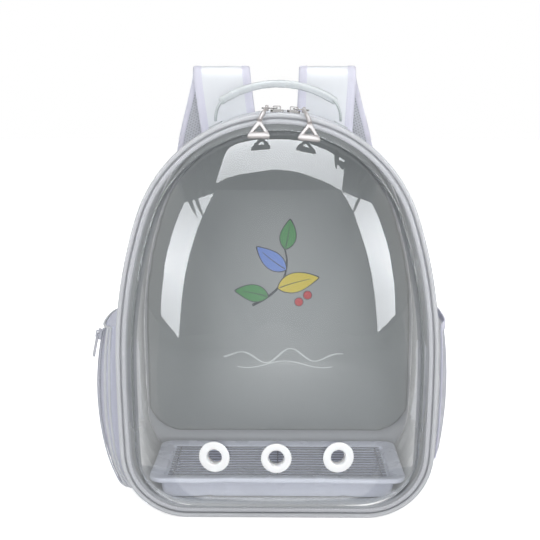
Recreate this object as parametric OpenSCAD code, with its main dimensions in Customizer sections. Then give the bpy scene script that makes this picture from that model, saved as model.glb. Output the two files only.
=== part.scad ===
// Capsule backpack carrier for a pet bird: a fabric body with a zipped front door that
// carries a clear moulded dome, a lift-out tray with a wire floor, side pockets, a rolled
// top handle and two padded shoulder straps.
// +X is the right side seen from the front, the door faces -Y, +Z is up.
// The origin is the middle of the base, on the surface that the carrier stands on.

/* [Body] */
// Widest width of the body
body_w = 332; // [306:1:380]
// Height of the body from the base to the top of the arch
body_h = 420; // [380:1:480]
// Depth of the body with the door frame, without the dome
body_d = 176; // [150:1:220]
// How far the round top starts inside the widest width, on each side
arch_inset = 16; // [14:1:22]
// Radius of the two bottom corners
corner_r = 70; // [55:1:80]
// Thickness of the padded side wall
wall = 4; // [3:0.5:6]
// Diameter of the piping at the front and back edges
piping_d = 5; // [4:0.5:6]
// Thickness of the back board
back_t = 3.7; // [3:0.1:6]
// Thickness of the padded panel inside the back
lining_t = 11; // [8:0.5:14]
// Height at which the padded panel inside the back begins
lining_z = 45; // [42:1:70]
// Thickness of the floor board
floor_t = 4.2; // [3:0.1:8]

/* [Door] */
// Depth of the door frame
frame_t = 9; // [7:0.5:12]
// Width of the door frame seen from the front
frame_w = 11.5; // [10:0.5:14]
// Width of the clear flange inside the frame
flange_w = 6; // [4:0.5:10]
// Depth of the dome in front of the frame
dome_d = 82; // [60:1:95]
// Wall thickness of the dome
dome_t = 1.6; // [1.2:0.1:3]
// Height at which the dome has its furthest point
dome_z = 110; // [100:1:150]
// Width of the binding strip over the flange
binding_w = 5; // [4:0.5:5]

/* [Vents] */
// Diameter of each vent hole
vent_d = 15; // [10:0.5:18]
// Outer diameter of each vent ring
vent_ring_d = 29.5; // [26:0.5:34]
// Distance from vent to vent
vent_pitch = 59; // [45:0.5:70]
// Height of the vents
vent_z = 92; // [80:1:110]

/* [Zip] */
// Width of each half of the zip
zip_w = 1.85; // [1.5:0.05:3]
// Height at which the zip ends on both sides
zip_end_z = 36; // [30:1:60]
// Distance of the place where the sliders meet from the middle
zip_meet_x = 7.8; // [-20:0.1:20]
// Length of a slider
slider_l = 13; // [10:0.5:16]
// Width of a slider
slider_w = 9; // [7:0.5:12]
// Width of a pull at its base
pull_w = 23; // [18:0.5:28]
// Thickness of a pull
pull_t = 3.2; // [2.5:0.1:4]
// Drop of a pull from its eye to its base
pull_drop = 27.5; // [24:0.5:34]

/* [Tray] */
// Width of the tray over its lip
tray_w = 276; // [230:1:280]
// Depth of the tray over its lip
tray_d = 140; // [110:1:144]
// Height of the tray
tray_h = 27; // [20:0.5:36]
// Width of the tray's lip
lip_w = 17; // [12:0.5:22]
// Wall thickness of the tray
tray_t = 2; // [1.5:0.1:3]
// Number of wires along the grid
grid_bars = 12; // [8:1:16]
// Diameter of the grid's wires
grid_wire_d = 2.2; // [1.6:0.1:3]

/* [Pockets] */
// How far the zipped pocket stands out on the left
left_bulge = 30; // [20:1:36]
// Height of the zipped pocket's top
left_top_z = 198; // [180:1:215]
// How far the mesh pocket stands out on the right
right_bulge = 17; // [14:0.5:24]
// Height of the mesh pocket's top
right_top_z = 203; // [180:1:215]
// Fabric thickness of the pockets
pocket_t = 1.8; // [1.4:0.1:3]
// Depth of both pockets, front to back
pocket_d = 124; // [100:1:134]
// Width of the side windows
window_d = 84; // [60:1:96]
// Height of the side windows
window_h = 92; // [60:1:110]
// Height of the lower edge of the side windows
window_z = 74; // [66:1:90]

/* [Handle and straps] */
// Distance between the two feet of the handle
handle_w = 140; // [110:1:160]
// Height of the top of the handle
handle_z = 453; // [445:1:475]
// Diameter of the rolled grip
grip_d = 8.5; // [7:0.5:12]
// Width of the handle's webbing
handle_tape_w = 18; // [14:1:26]
// Place of the handle along the depth
handle_y = 30; // [-10:1:45]
// Width of each shoulder strap
strap_w = 64; // [50:1:70]
// Thickness of each shoulder strap
strap_t = 9; // [6:0.5:12]
// Height of the fold at the top of the straps
strap_top_z = 474; // [465:1:500]
// Width of the adjusting webbing
webbing_w = 25; // [20:1:30]

/* [Hidden] */

// Clearances
seam_gap = 0.3;    // between neighbouring pieces
fit_gap = 0.2;     // where one piece lies in the rebate of another
slide_gap = 0.4;   // under the sliders

// Planes across the depth, front to back
front_y = -body_d / 2;
back_y = body_d / 2;
flange_back_y = front_y + dome_t;
frame_front_y = flange_back_y + fit_gap;
frame_back_y = front_y + frame_t;
split_y = frame_back_y + zip_w + seam_gap / 2;      // the door parts here
tape_back_y = split_y + seam_gap / 2 + zip_w;
gusset_back_y = back_y - back_t - seam_gap;
lining_front_y = gusset_back_y - lining_t;

// Outline: round top, slightly flared sides, round corners, flat base
half_w = body_w / 2;
arch_r = half_w - arch_inset;
arch_z = body_h - arch_r;
flare_a = 18;                                        // where the top arc meets the side arc
side_r = (half_w - arch_r * cos(flare_a)) / (1 - cos(flare_a));
waist_z = arch_z - (side_r - arch_r) * sin(flare_a);
low_r = 1800;                                        // the nearly straight lower side
low_a = asin((waist_z - corner_r) / (low_r - corner_r));
corner_x = half_w - low_r + (low_r - corner_r) * cos(low_a);

function arc(c, r, a0, a1, n) =
    [for (i = [0:n]) let (a = a0 + (a1 - a0) * i / n) c + r * [cos(a), sin(a)]];

// Right half of the outline, e millimetres inside the body's edge, from the base up
function half_outline(e) = concat(
    arc([corner_x, corner_r], corner_r - e, -90, -low_a, 8),
    arc([half_w - low_r, waist_z], low_r - e, -low_a * 2 / 3, 0, 2),
    arc([half_w - side_r, waist_z], side_r - e, flare_a / 4, flare_a, 3),
    arc([0, arch_z], arch_r - e, flare_a + 5, 90, 13)
);
function outline(e) = let (h = half_outline(e)) concat(h,
    [for (i = [len(h) - 2:-1:0]) [-h[i][0], h[i][1]]]);

// Half width of the body at a height below the waist
function side_x(z) = z > corner_r * (1 - sin(low_a))
    ? half_w - low_r + sqrt(pow(low_r, 2) - pow(z - waist_z, 2))
    : corner_x + sqrt(pow(corner_r, 2) - pow(z - corner_r, 2));

function unit(v) = v / norm(v);
function corner_arc(a, b, c, r, n) =
    let (u = unit(a - b), v = unit(c - b), half = acos(u * v) / 2,
        centre = b + unit(u + v) * r / sin(half),
        p = b + u * r / tan(half) - centre, q = b + v * r / tan(half) - centre,
        a0 = atan2(p[1], p[0]), turn = (atan2(q[1], q[0]) - a0 + 540) % 360 - 180)
    [for (i = [0:n]) centre + r * [cos(a0 + turn * i / n), sin(a0 + turn * i / n)]];
// A polygon with each corner rounded by its own radius
function rounded(p, radii, n = 5) = let (m = len(p))
    [for (i = [0:m - 1]) each corner_arc(p[(i + m - 1) % m], p[i], p[(i + 1) % m], radii[i], n)];
function rect(w, h) = [[w, -h] / 2, [w, h] / 2, [-w, h] / 2, [-w, -h] / 2];
function round_rect(w, h, r, n = 5) = rounded(rect(w, h), [r, r, r, r], n);

function middle(ring) = [for (k = [0:2]) sum([for (p = ring) p[k]]) / len(ring)];
function sum(v, i = 0) = i < len(v) ? v[i] + sum(v, i + 1) : 0;

// Solid through a row of equal rings, each turning right-handed about the way they run
module loft(rings) {
    n = len(rings[0]);
    m = len(rings);
    function at(k, i) = 1 + k * n + i % n;
    polyhedron(
        concat([middle(rings[0])], [for (r = rings) each r], [middle(rings[m - 1])]),
        concat(
            [for (i = [0:n - 1]) [0, at(0, i), at(0, i + 1)]],
            [for (k = [0:m - 2], i = [0:n - 1], half = [0, 1]) half == 0
                ? [at(k, i), at(k + 1, i), at(k + 1, i + 1)]
                : [at(k, i), at(k + 1, i + 1), at(k, i + 1)]],
            [for (i = [0:n - 1]) [1 + m * n, at(m - 1, i + 1), at(m - 1, i)]]
        ), 10);
}

// Closed band with a section of [inset, y] points, swept along the body's outline
module swept_band(section) {
    rings = [for (s = section) [for (p = outline(s[0])) [p[0], s[1], p[1]]]];
    n = len(rings[0]);
    m = len(rings);
    function at(k, i) = (k % m) * n + i % n;
    polyhedron([for (r = rings) each r],
        [for (k = [0:m - 1], i = [0:n - 1], half = [0, 1]) half == 0
            ? [at(k, i), at(k + 1, i), at(k + 1, i + 1)]
            : [at(k, i), at(k + 1, i + 1), at(k, i + 1)]], 10);
}
function round_section(e, y, d, n = 8) =
    [for (i = [0:n - 1]) let (a = 180 - 45 / 2 - i * 360 / n) [e, y] + d / 2 * [cos(a), -sin(a)]];

// Extrusion of an X-Z drawing between two planes across the depth
module across(y0, y1) {
    translate([0, y1, 0]) rotate([90, 0, 0]) linear_extrude(y1 - y0) children();
}
module ring(e0, e1, y0, y1) {
    across(y0, y1) difference() {
        polygon(outline(e0));
        polygon(outline(e1));
    }
}
module slice(z0, z1) {
    translate([-body_w, -body_d, z0]) cube([2 * body_w, 2 * body_d, z1 - z0]);
}
module on_arch(a) {
    translate([0, 0, arch_z]) rotate([0, a, 0]) children();
}
module both_sides() {
    for (side = [0, 1]) mirror([side, 0, 0]) children();
}

// ---- Fabric body ----
window_r = 18;
window_y = (split_y + back_y) / 2 - 6;
module window_shape(grow) {
    translate([0, window_y, window_z + window_h / 2]) rotate([90, 0, 90])
        linear_extrude(body_w) polygon(round_rect(window_d + 2 * grow, window_h + 2 * grow, window_r + grow));
}
module gusset_band() {
    color("gainsboro") union() {
        difference() {
            ring(0, wall, tape_back_y, gusset_back_y);
            both_sides() window_shape(0);
        }
        intersection() {
            ring(tape_e0, wall, split_y + seam_gap / 2, tape_back_y);
            slice(-1, zip_end_z - seam_gap);
        }
    }
}
module mesh_window(side) {
    color("silver") intersection() {
        ring(wall / 2 - 0.6, wall / 2 + 0.6, tape_back_y, gusset_back_y);
        mirror([side < 0 ? 1 : 0, 0, 0]) window_shape(-seam_gap / 2);
    }
}
module back_board() {
    color("lightgray") across(back_y - back_t, back_y) polygon(outline(piping_d + 2 * seam_gap));
}
rear_pipe_y = gusset_back_y + piping_d / 2 + 0.1;
module rear_piping() {
    color("whitesmoke") swept_band(round_section(piping_d / 2 + 0.1, rear_pipe_y, piping_d));
}
module floor_board() {
    color("whitesmoke") intersection() {
        across(split_y + 2, gusset_back_y - seam_gap) polygon(outline(wall + seam_gap));
        slice(0, floor_top_z);
    }
}
floor_top_z = wall + seam_gap + floor_t;

// Padded panel inside the back: a flat cushion with a rounded front edge
lining_corner_r = 46;
lining_edge = 4;
function lining_shape(e) = [for (p = outline(wall + 2 + e)) let (
        x = p[0], low = lining_z + e, cx = half_w - wall - 2 - lining_corner_r,
        out = max(0, abs(x) - cx),
        floor_z = low + lining_corner_r - sqrt(max(0, pow(lining_corner_r, 2) - out * out)))
    [x, max(p[1], min(floor_z, low + lining_corner_r))]];
module back_lining_panel() {
    color("darkgray") loft([for (s = [[0, gusset_back_y - seam_gap], [0, lining_front_y + lining_edge],
            [1.2, lining_front_y + 1.2], [lining_edge, lining_front_y]])
        [for (p = lining_shape(s[0])) [p[0], s[1], p[1]]]]);
}

// ---- Zip ----
tape_e0 = 0.5;
module zip_half(y0, y1) {
    intersection() {
        ring(tape_e0, wall, y0, y1);
        slice(zip_end_z, body_h);
    }
}
module body_zip_tape() {
    color("lightgray") zip_half(split_y + seam_gap / 2, tape_back_y);
}
module door_zip_tape() {
    color("lightgray") zip_half(frame_back_y, split_y - seam_gap / 2);
}
module hinge_strip() {
    color("lightgray") intersection() {
        ring(tape_e0, wall, frame_back_y, split_y - seam_gap / 2);
        slice(-1, zip_end_z - seam_gap);
    }
}

// ---- Door ----
binding_e0 = piping_d + 1.2;
flange_e0 = piping_d + 1.1;
dome_e0 = frame_w + flange_w;
module door_frame() {
    color("gainsboro") union() {
        ring(0, frame_w, front_y + piping_d / 2 + 0.1, frame_back_y);
        ring(flange_e0 - 0.7, frame_w, frame_front_y, front_y + piping_d / 2 + 0.1);
    }
}
module door_piping() {
    color("whitesmoke") swept_band(round_section(piping_d / 2 + 0.1, front_y - 0.1, piping_d));
}
module door_binding() {
    e1 = binding_e0 + binding_w;
    rise = 2.4;
    base = front_y - fit_gap;
    color("whitesmoke") swept_band([
        [binding_e0, base], [binding_e0, base - rise * 0.6], [binding_e0 + 1, base - rise],
        [e1 - 1, base - rise], [e1, base - rise * 0.6], [e1, base]]);
}

// Dome: steep rim and a round shoulder, tighter below its furthest point than above it
dome_m = 1.6;
dome_n_up = 2.4;
dome_n_side = 3;
dome_n_down = 3.6;
dome_centre = [0, dome_z];
function mix(a, b, t) = a + (b - a) * t;
function dome_n(way) = mix(dome_n_side, way[1] > 0 ? dome_n_up : dome_n_down, pow(way[1], 2));
function dome_ring(e, depth, f, y) = [for (p = outline(e)) let (
        way = p - dome_centre, q = dome_centre + pow(1 - pow(f, dome_m), 1 / dome_n(unit(way))) * way)
    [q[0], y - depth * f, q[1]]];
dome_steps = [for (i = [0:9]) sin(i * 9.6)];
module dome() {
    inner = [for (i = [9:-1:0]) dome_ring(dome_e0 + dome_t, dome_d, dome_steps[i], flange_back_y)];
    outer = [for (i = [0:9]) dome_ring(dome_e0, dome_d, dome_steps[i], front_y)];
    flange = [for (y = [flange_back_y, front_y]) [for (p = outline(flange_e0)) [p[0], y, p[1]]]];
    color("lightcyan", 0.35) difference() {
        loft(concat(inner, flange, outer));
        for (i = [-1:1]) at_vent(i) translate([0, 0, -vent_reach]) cylinder(h = 2 * vent_reach, d = vent_cut_d, $fn = 48);
    }
}

// How far a point lies between the dome's centre (0) and its edge (1)
function dome_gauge(p) = let (o = outline(dome_e0), n = len(o))
    max([for (i = [0:n - 1]) let (a = o[i], b = o[(i + 1) % n], t = b - a, out = [t[1], -t[0]])
        (out * (p - dome_centre)) / (out * (a - dome_centre))]);
function dome_y(x, z) = let (n = dome_n(unit([x, z] - dome_centre)))
    front_y - dome_d * pow(max(0, 1 - pow(dome_gauge([x, z]), n)), 1 / dome_m);

// ---- Vents: a ring in each of three holes, square to the dome's surface ----
vent_reach = 14;
vent_wall = 1.4;
vent_cut_d = vent_d + 2 * vent_wall + 2 * fit_gap;
vent_ring_h = 3;
vent_neck = 5;
slope_step = 9;
module at_vent(i) {
    x = i * vent_pitch;
    y = dome_y(x, vent_z);
    dx = (dome_y(x + slope_step, vent_z) - dome_y(x - slope_step, vent_z)) / (2 * slope_step);
    dz = (dome_y(x, vent_z + slope_step) - dome_y(x, vent_z - slope_step)) / (2 * slope_step);
    n = unit([dx, -1, dz]);
    translate([x, y, vent_z]) rotate([0, acos(n[2]), atan2(n[1], n[0])]) children();
}
vent_stand = 1.1;
module vent_rings() {
    color("white") for (i = [-1:1]) at_vent(i) rotate_extrude($fn = 64) union() {
        translate([vent_d / 2, -vent_neck]) square([vent_wall, vent_neck + vent_stand + 0.1]);
        translate([vent_d / 2, vent_stand]) square([(vent_ring_d - vent_d) / 2 - vent_ring_h / 2, vent_ring_h]);
        translate([(vent_ring_d - vent_ring_h) / 2, vent_stand + vent_ring_h / 2]) circle(d = vent_ring_h, $fn = 32);
    }
}

// ---- Zip sliders and pulls, placed round the arch ----
meet_a = asin(zip_meet_x / arch_r);
slider_off = slider_l / 2 + 1.8;                // from the meeting point to a slider
eye_reach = 9.9;                                // from a slider to the eye of its pull
slider_r0 = arch_r + slide_gap;
slider_h = 2.4;
link_wire_d = 1.6;
link_r = slider_r0 + slider_h + 1.6;
eye_y = split_y - 5.2;
slider_turn = slider_off / arch_r * 180 / PI;

module slider(side) {
    link_back_y = split_y + 3;
    link_w = link_back_y - eye_y + link_wire_d;
    link_l = eye_reach + 4.6 + link_wire_d;
    bridge_h = 3.9;
    color("dimgray") on_arch(meet_a + side * slider_turn) {
        translate([0, split_y, slider_r0]) linear_extrude(slider_h)
            polygon(rounded([[slider_l, -slider_w * 0.7] / 2, [slider_l, slider_w * 0.7] / 2,
                [-slider_l, slider_w] / 2, [-slider_l, -slider_w] / 2], [1.5, 1.5, 3, 3]));
        // bridge on the slider
        translate([0, split_y + 1.2, slider_r0 + slider_h]) rotate([90, 0, 0])
            linear_extrude(2.4) difference() {
                polygon(rounded([[4.2, 0], [4.2, bridge_h], [-4.2, bridge_h], [-4.2, 0]], [0.2, 1.4, 1.4, 0.2]));
                polygon(rounded([[2.8, 0.4], [2.8, 2.8], [-2.8, 2.8], [-2.8, 0.4]], [0.3, 0.6, 0.6, 0.3]));
            }
        // wire link: under the bridge, then along the front, where the pull hangs on it
        translate([side * (link_l / 2 - link_wire_d / 2), (eye_y + link_back_y) / 2, link_r])
            wire_loop(link_l, link_w);
    }
}
// Loop of round wire lying flat: four straights and four bends
module wire_loop(l, w) {
    bend = 2.2;
    x = (l - link_wire_d) / 2 - bend;
    y = (w - link_wire_d) / 2 - bend;
    for (k = [-1, 1]) {
        translate([-x, k * (y + bend), 0]) rotate([0, 90, 0]) cylinder(h = 2 * x, d = link_wire_d, $fn = 24);
        translate([k * (x + bend), y, 0]) rotate([90, 0, 0]) cylinder(h = 2 * y, d = link_wire_d, $fn = 24);
    }
    for (c = [[x, y, 0], [-x, y, 90], [-x, -y, 180], [x, -y, 270]])
        translate([c[0], c[1], 0]) rotate([0, 0, c[2]]) rotate_extrude(angle = 90, $fn = 48)
            translate([bend, 0]) circle(d = link_wire_d, $fn = 24);
}

// Pull: bent in side view over the rim, a rounded triangle with a window in front view
pull_lean = 7;
eye_d = 6.2;
eye_hole_d = 2.6;
eye_w = 3.6;
pull_base_r = link_r - pull_drop;
pull_apex_r = link_r - 0.48 * pull_drop;
bend_y = front_y - piping_d / 2 - 4.5;
apex_y = bend_y - 5;
base_y = apex_y - 13;
module pull(side) {
    spine = [[eye_y, link_r], [bend_y, link_r - 4.2], [apex_y, pull_apex_r], [base_y, pull_base_r]];
    color("silver") on_arch(meet_a + side * slider_turn) translate([side * eye_reach, 0, 0])
        difference() {
            intersection() {
                // side view, extruded across the width
                translate([-2 * pull_w, 0, 0]) rotate([90, 0, 90]) linear_extrude(4 * pull_w) {
                    translate([eye_y, link_r]) circle(d = eye_d, $fn = 32);
                    for (i = [0:len(spine) - 2]) hull() {
                        translate(spine[i]) circle(d = pull_t, $fn = 24);
                        translate(spine[i + 1]) circle(d = pull_t, $fn = 24);
                    }
                }
                // front view, extruded along the depth
                across(base_y - 10, eye_y + 8) difference() {
                    union() {
                        polygon(rounded([[eye_w / 2, link_r - 2], [eye_w / 2, link_r + eye_d],
                            [-eye_w / 2, link_r + eye_d], [-eye_w / 2, link_r - 2]], [0.3, 0.3, 0.3, 0.3]));
                        polygon([[-eye_w / 2, link_r - 1.9], [side * pull_lean - 2.2, pull_apex_r - 3],
                            [side * pull_lean + 2.2, pull_apex_r - 3], [eye_w / 2, link_r - 1.9]]);
                        polygon(pull_triangle(side, 0));
                    }
                    polygon(pull_triangle(side, 3.9));
                }
            }
            translate([-eye_w, eye_y, link_r]) rotate([0, 90, 0])
                cylinder(h = 2 * eye_w, d = eye_hole_d, $fn = 32);
        }
}
function pull_triangle(side, e) = let (x = side * pull_lean * 1.1, low = pull_base_r - 1 + e * 0.9,
        high = pull_apex_r + 2.4 - e * 1.5, w = pull_w / 2 + 1 - e * 1.35)
    rounded([[x + w, low], [side * pull_lean, high], [x - w, low]], e == 0 ? [3, 2.2, 3] : [0.8, 0.6, 0.8]);

// ---- Tray and wire floor ----
tray_y = (split_y + lining_front_y) / 2 - 0.5;
tray_z = floor_top_z + seam_gap;
tray_top_z = tray_z + tray_h;
lip_h = 3.4;
ledge_w = 4;
ledge_h = 4.6;
tray_draft = 3;
module tray() {
    function tray_ring(cut, z, r) = [for (p = round_rect(tray_w - 2 * cut, tray_d - 2 * cut, r))
        [p[0], p[1] + tray_y, z]];
    well = lip_w + ledge_w;
    color("lightsteelblue") loft([for (s = [
            [well + tray_draft + 4, tray_z, 6], [well + tray_draft - tray_t + 1.2, tray_z, 8],
            [well + tray_draft - tray_t, tray_z + 1.4, 9], [well - tray_t, tray_top_z - ledge_h - tray_t, 8],
            [lip_w - tray_t, tray_top_z - ledge_h - tray_t * 0.4, 9], [lip_w - tray_t, tray_top_z - lip_h + 0.6, 9],
            [tray_t, tray_top_z - lip_h + 0.2, 20], [tray_t, tray_top_z - lip_h - 1.8, 20],
            [0, tray_top_z - lip_h - 1.8, 22], [0, tray_top_z - 1.2, 22],
            [1.4, tray_top_z, 21], [4, tray_top_z, 19],
            [lip_w - 1, tray_top_z - 1.6, 8], [lip_w, tray_top_z - ledge_h, 7],
            [well, tray_top_z - ledge_h, 6], [well + tray_draft, tray_z + tray_t, 6],
            [well + tray_draft + tray_t + 4, tray_z + tray_t, 5]])
        tray_ring(s[0], s[1], s[2])]);
}
cross_z = tray_top_z - ledge_h + seam_gap + grid_wire_d / 2;
bar_z = cross_z + grid_wire_d + 0.02;
bar_l = tray_w - 2 * lip_w - 6;
cross_l = tray_d - 2 * lip_w - 3;
module grid_bars() {
    span = cross_l - 2 * grid_wire_d;
    color("dimgray") for (i = [0:grid_bars - 1])
        translate([-bar_l / 2, tray_y + span * (i / (grid_bars - 1) - 0.5), bar_z])
            rotate([0, 90, 0]) cylinder(h = bar_l, d = grid_wire_d, $fn = 24);
}
module grid_cross_wires() {
    color("dimgray") for (x = [-1:1])
        translate([x * (bar_l / 2 - 5), tray_y + cross_l / 2, cross_z])
            rotate([90, 0, 0]) cylinder(h = cross_l, d = grid_wire_d, $fn = 24);
}

// ---- Pockets ----
pocket_y = window_y;
pocket_r = 250;                     // the outer edge is an arc
pocket_waist_z = 125;
left_low_z = 20;
right_low_z = 54;
pocket_steps = 14;
pocket_seat = 0.6;                  // between a pocket and the body
function pocket_fall(z) = pocket_r - sqrt(pow(pocket_r, 2) - pow(z - pocket_waist_z, 2));
function pocket_swell(y) = sqrt(max(0, 1 - pow(abs(y - pocket_y) / (pocket_d / 2), 3)));
function left_x(y, z) = side_x(z) + pocket_seat + 2
    + (half_w - side_x(z) + left_bulge - 2 - pocket_fall(z)) * pocket_swell(y);
function right_x(y, z) = side_x(z) + pocket_seat + 2
    + (right_bulge - 2 - pocket_fall(z) * right_bulge / left_bulge) * pocket_swell(y);
function pocket_step(low, top, i) = low + (top - low) * pow(i / pocket_steps, 1.4);
// Ring of a pocket in the plane y: up the outside, down along the body. The inner skin's ring
// reaches back past the outer one, so that the pocket is open towards the body it is sewn to.
function pocket_ring(kind, y, y_at, low, top, skin, lift) = concat(
    [for (i = [0:pocket_steps]) let (z = pocket_step(low + skin, top + lift, i), zc = min(z, top))
        [(kind == 0 ? left_x(y, zc) : right_x(y, zc)) - skin, y_at, z]],
    [for (i = [pocket_steps:-1:0]) let (z = pocket_step(low + skin, top + lift, i))
        [side_x(z) + pocket_seat - skin, y_at, z]]);
function pocket_rings(kind, low, top, skin, lift) =
    [for (a = [72:-16:-72]) let (t = sin(a) / sin(72))
        pocket_ring(kind, pocket_y + t * pocket_d * 0.4925, pocket_y + t * (pocket_d / 2 - skin), low, top, skin, lift)];
module left_pocket() {
    color("lavender") mirror([1, 0, 0]) difference() {
        loft(pocket_rings(0, left_low_z, left_top_z, 0, 0));
        loft(pocket_rings(0, left_low_z, left_top_z, pocket_t, -pocket_t));
    }
}
module right_pocket() {
    color("gainsboro") difference() {
        loft(pocket_rings(1, right_low_z, right_top_z, 0, 0));
        loft(pocket_rings(1, right_low_z, right_top_z, pocket_t, 6));
    }
}
// Elastic hem round the mouth of the mesh pocket
hem_h = 9;
hem_t = 1.6;
module right_pocket_hem() {
    low = right_top_z - hem_h;
    color("whitesmoke") loft([for (a = [-66:12:66])
        let (y = pocket_y + (pocket_d / 2 - 4) * sin(a) / sin(66), x = right_x(y, low) + seam_gap + 0.4)
        [for (c = [[0, 0], [0, hem_h], [hem_t, hem_h], [hem_t, 0]]) [x + c[0], y, low + c[1]]]]);
}
// Zip along the front edge of the zipped pocket
pocket_zip_y = pocket_y - pocket_d * 0.36;
pocket_zip_w = 7;
module left_pocket_zip() {
    color("gray") mirror([1, 0, 0]) loft([for (i = [0:12]) let (z = left_low_z + 5 + (left_top_z - left_low_z - 10) * i / 12)
        [for (c = [[0, 1], [0, 0], [1.3, 0], [1.3, 1]]) let (y = pocket_zip_y + (c[1] - 0.5) * pocket_zip_w)
            [left_x(y, z) + seam_gap + c[0] + 0.2, y, z]]]);
}
// Slider of the pocket zip, parked near the top; it runs round the centre of the zip's own arc
pocket_arc_r = pocket_r / pocket_swell(pocket_zip_y);
pocket_arc_x = left_x(pocket_zip_y, pocket_waist_z) - pocket_arc_r;
pocket_slider_z = left_top_z - 12;
pocket_slider_a = asin((pocket_slider_z - pocket_waist_z) / pocket_arc_r);
pocket_slider_r = pocket_arc_r + seam_gap + 1.5 + 1.5 * slide_gap;
pocket_slider_t = 2.2;
pocket_bar = 1.2;                               // bar of the pull inside the bridge
pocket_pull_rise = pocket_slider_t + 1.4;
pocket_tilt = atan((left_x(pocket_zip_y + 3, pocket_waist_z) - left_x(pocket_zip_y - 3, pocket_waist_z)) / 6);
module on_pocket_slider(rise) {
    mirror([1, 0, 0]) translate([pocket_arc_x, pocket_zip_y, pocket_waist_z])
        rotate([0, -pocket_slider_a, 0]) translate([pocket_slider_r, 0, 0])
            rotate([0, 0, -pocket_tilt]) translate([rise, 0, 0]) children();
}
module left_pocket_slider() {
    color("dimgray") on_pocket_slider(0) {
        translate([pocket_slider_t / 2, 0, 0]) linear_extrude(11, center = true)
            polygon(rounded(rect(pocket_slider_t, 8), [0.6, 0.6, 0.6, 0.6]));
        translate([pocket_slider_t, 1, 0]) rotate([90, 0, 0]) linear_extrude(2) difference() {
            polygon(rounded([[0, -4], [3.5, -4], [3.5, 4], [0, 4]], [0.2, 1.2, 1.2, 0.2]));
            polygon(rounded([[0.5, -2.6], [2.3, -2.6], [2.3, 2.6], [0.5, 2.6]], [0.3, 0.3, 0.3, 0.3]));
        }
    }
}
module left_pocket_pull() {
    pull_l = 26;
    color("silver") on_pocket_slider(pocket_pull_rise) rotate([0, 90, 0])
        linear_extrude(pocket_bar, center = true) difference() {
            translate([pull_l / 2 - pocket_bar / 2, 0]) polygon(rounded(rect(pull_l, 6.4), [2.6, 2.6, 0.5, 0.5]));
            translate([pocket_bar / 2 + 2.4, 0]) polygon(rounded(rect(4.8, 3.2), [0.4, 0.4, 0.4, 0.4]));
        }
}

// ---- Handle ----
handle_foot_x = handle_w / 2;
handle_foot_z = arch_z + sqrt(pow(arch_r, 2) - pow(handle_foot_x, 2));
grip_half_x = handle_foot_x - 9;
grip_sag = 18;
grip_r = (pow(grip_half_x, 2) + pow(grip_sag, 2)) / (2 * grip_sag);
grip_a = asin(grip_half_x / grip_r);
grip_centre_z = handle_z - grip_d / 2 - grip_r;
anchor_t = 1.6;
anchor_top_r = arch_r + seam_gap + anchor_t;
// the tape's lower end is round in side view, so that the handle can lie down either way
handle_pivot_z = arch_z + sqrt(pow(anchor_top_r, 2) - pow(handle_foot_x - 4, 2)) + 1.5 * slide_gap + handle_tape_w / 2;
tab_t = 3.2;
module handle_grip() {
    color("whitesmoke") translate([0, handle_y, grip_centre_z]) rotate([90, 0, 0])
        rotate([0, 0, 90 - grip_a]) rotate_extrude(angle = 2 * grip_a, $fn = 180)
            translate([grip_r, 0]) circle(d = grip_d, $fn = 32);
}
module handle_tabs() {
    along = [cos(grip_a), -sin(grip_a)];
    out = [sin(grip_a), cos(grip_a)];
    end = [0, grip_centre_z] + grip_r * out + 0.1 * along;
    foot_z = handle_pivot_z - handle_tape_w / 2;
    h = grip_d * 0.42;
    color("silver") both_sides() intersection() {
        across(handle_y - handle_tape_w / 2, handle_y + handle_tape_w / 2)
            polygon([end + h * out, end - h * out, end - h * out + 1.5 * along,
                [handle_foot_x - tab_t, foot_z], [handle_foot_x, foot_z],
                end + h * out + (tab_t + 1) * along]);
        translate([0, handle_y, handle_pivot_z]) rotate([90, 0, 90]) linear_extrude(body_w) union() {
            circle(d = handle_tape_w, $fn = 48);
            translate([-handle_tape_w / 2, 0]) square([handle_tape_w, handle_z - handle_foot_z]);
        }
    }
}
module handle_anchors() {
    color("gainsboro") both_sides() on_arch(asin((handle_foot_x - 2) / arch_r))
        translate([-8, handle_y - handle_tape_w / 2 - 3, arch_r + seam_gap])
            cube([16, handle_tape_w + 6, anchor_t]);
}

// ---- Back and straps ----
pad_t = 11;
module back_pads() {
    color("silver") for (side = [-1, 1]) pad(side * 62, 210, 96, 230);
    color("silver") pad(0, 62, 200, 44);
}
module pad(x, z, w, h) {
    function pad_ring(cut, y) = [for (p = round_rect(w - 2 * cut, h - 2 * cut, 18 - cut * 0.6))
        [x + p[0], y, z + p[1]]];
    y0 = back_y + seam_gap;
    loft([for (s = [[9, y0 + pad_t], [4, y0 + pad_t * 0.9], [1, y0 + pad_t * 0.62], [0, y0 + pad_t * 0.3], [1.5, y0]])
        [for (p = pad_ring(s[0], s[1])) p]]);
}
yoke_low_z = 350;
yoke_top_z = 371.7;
module strap_yoke() {
    color("gainsboro") translate([0, strap_mid_y, (yoke_low_z + yoke_top_z) / 2])
        linear_extrude(yoke_top_z - yoke_low_z, center = true)
            polygon(round_rect(190, 2 * (strap_mid_y - back_y - seam_gap), 3));
}

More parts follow.
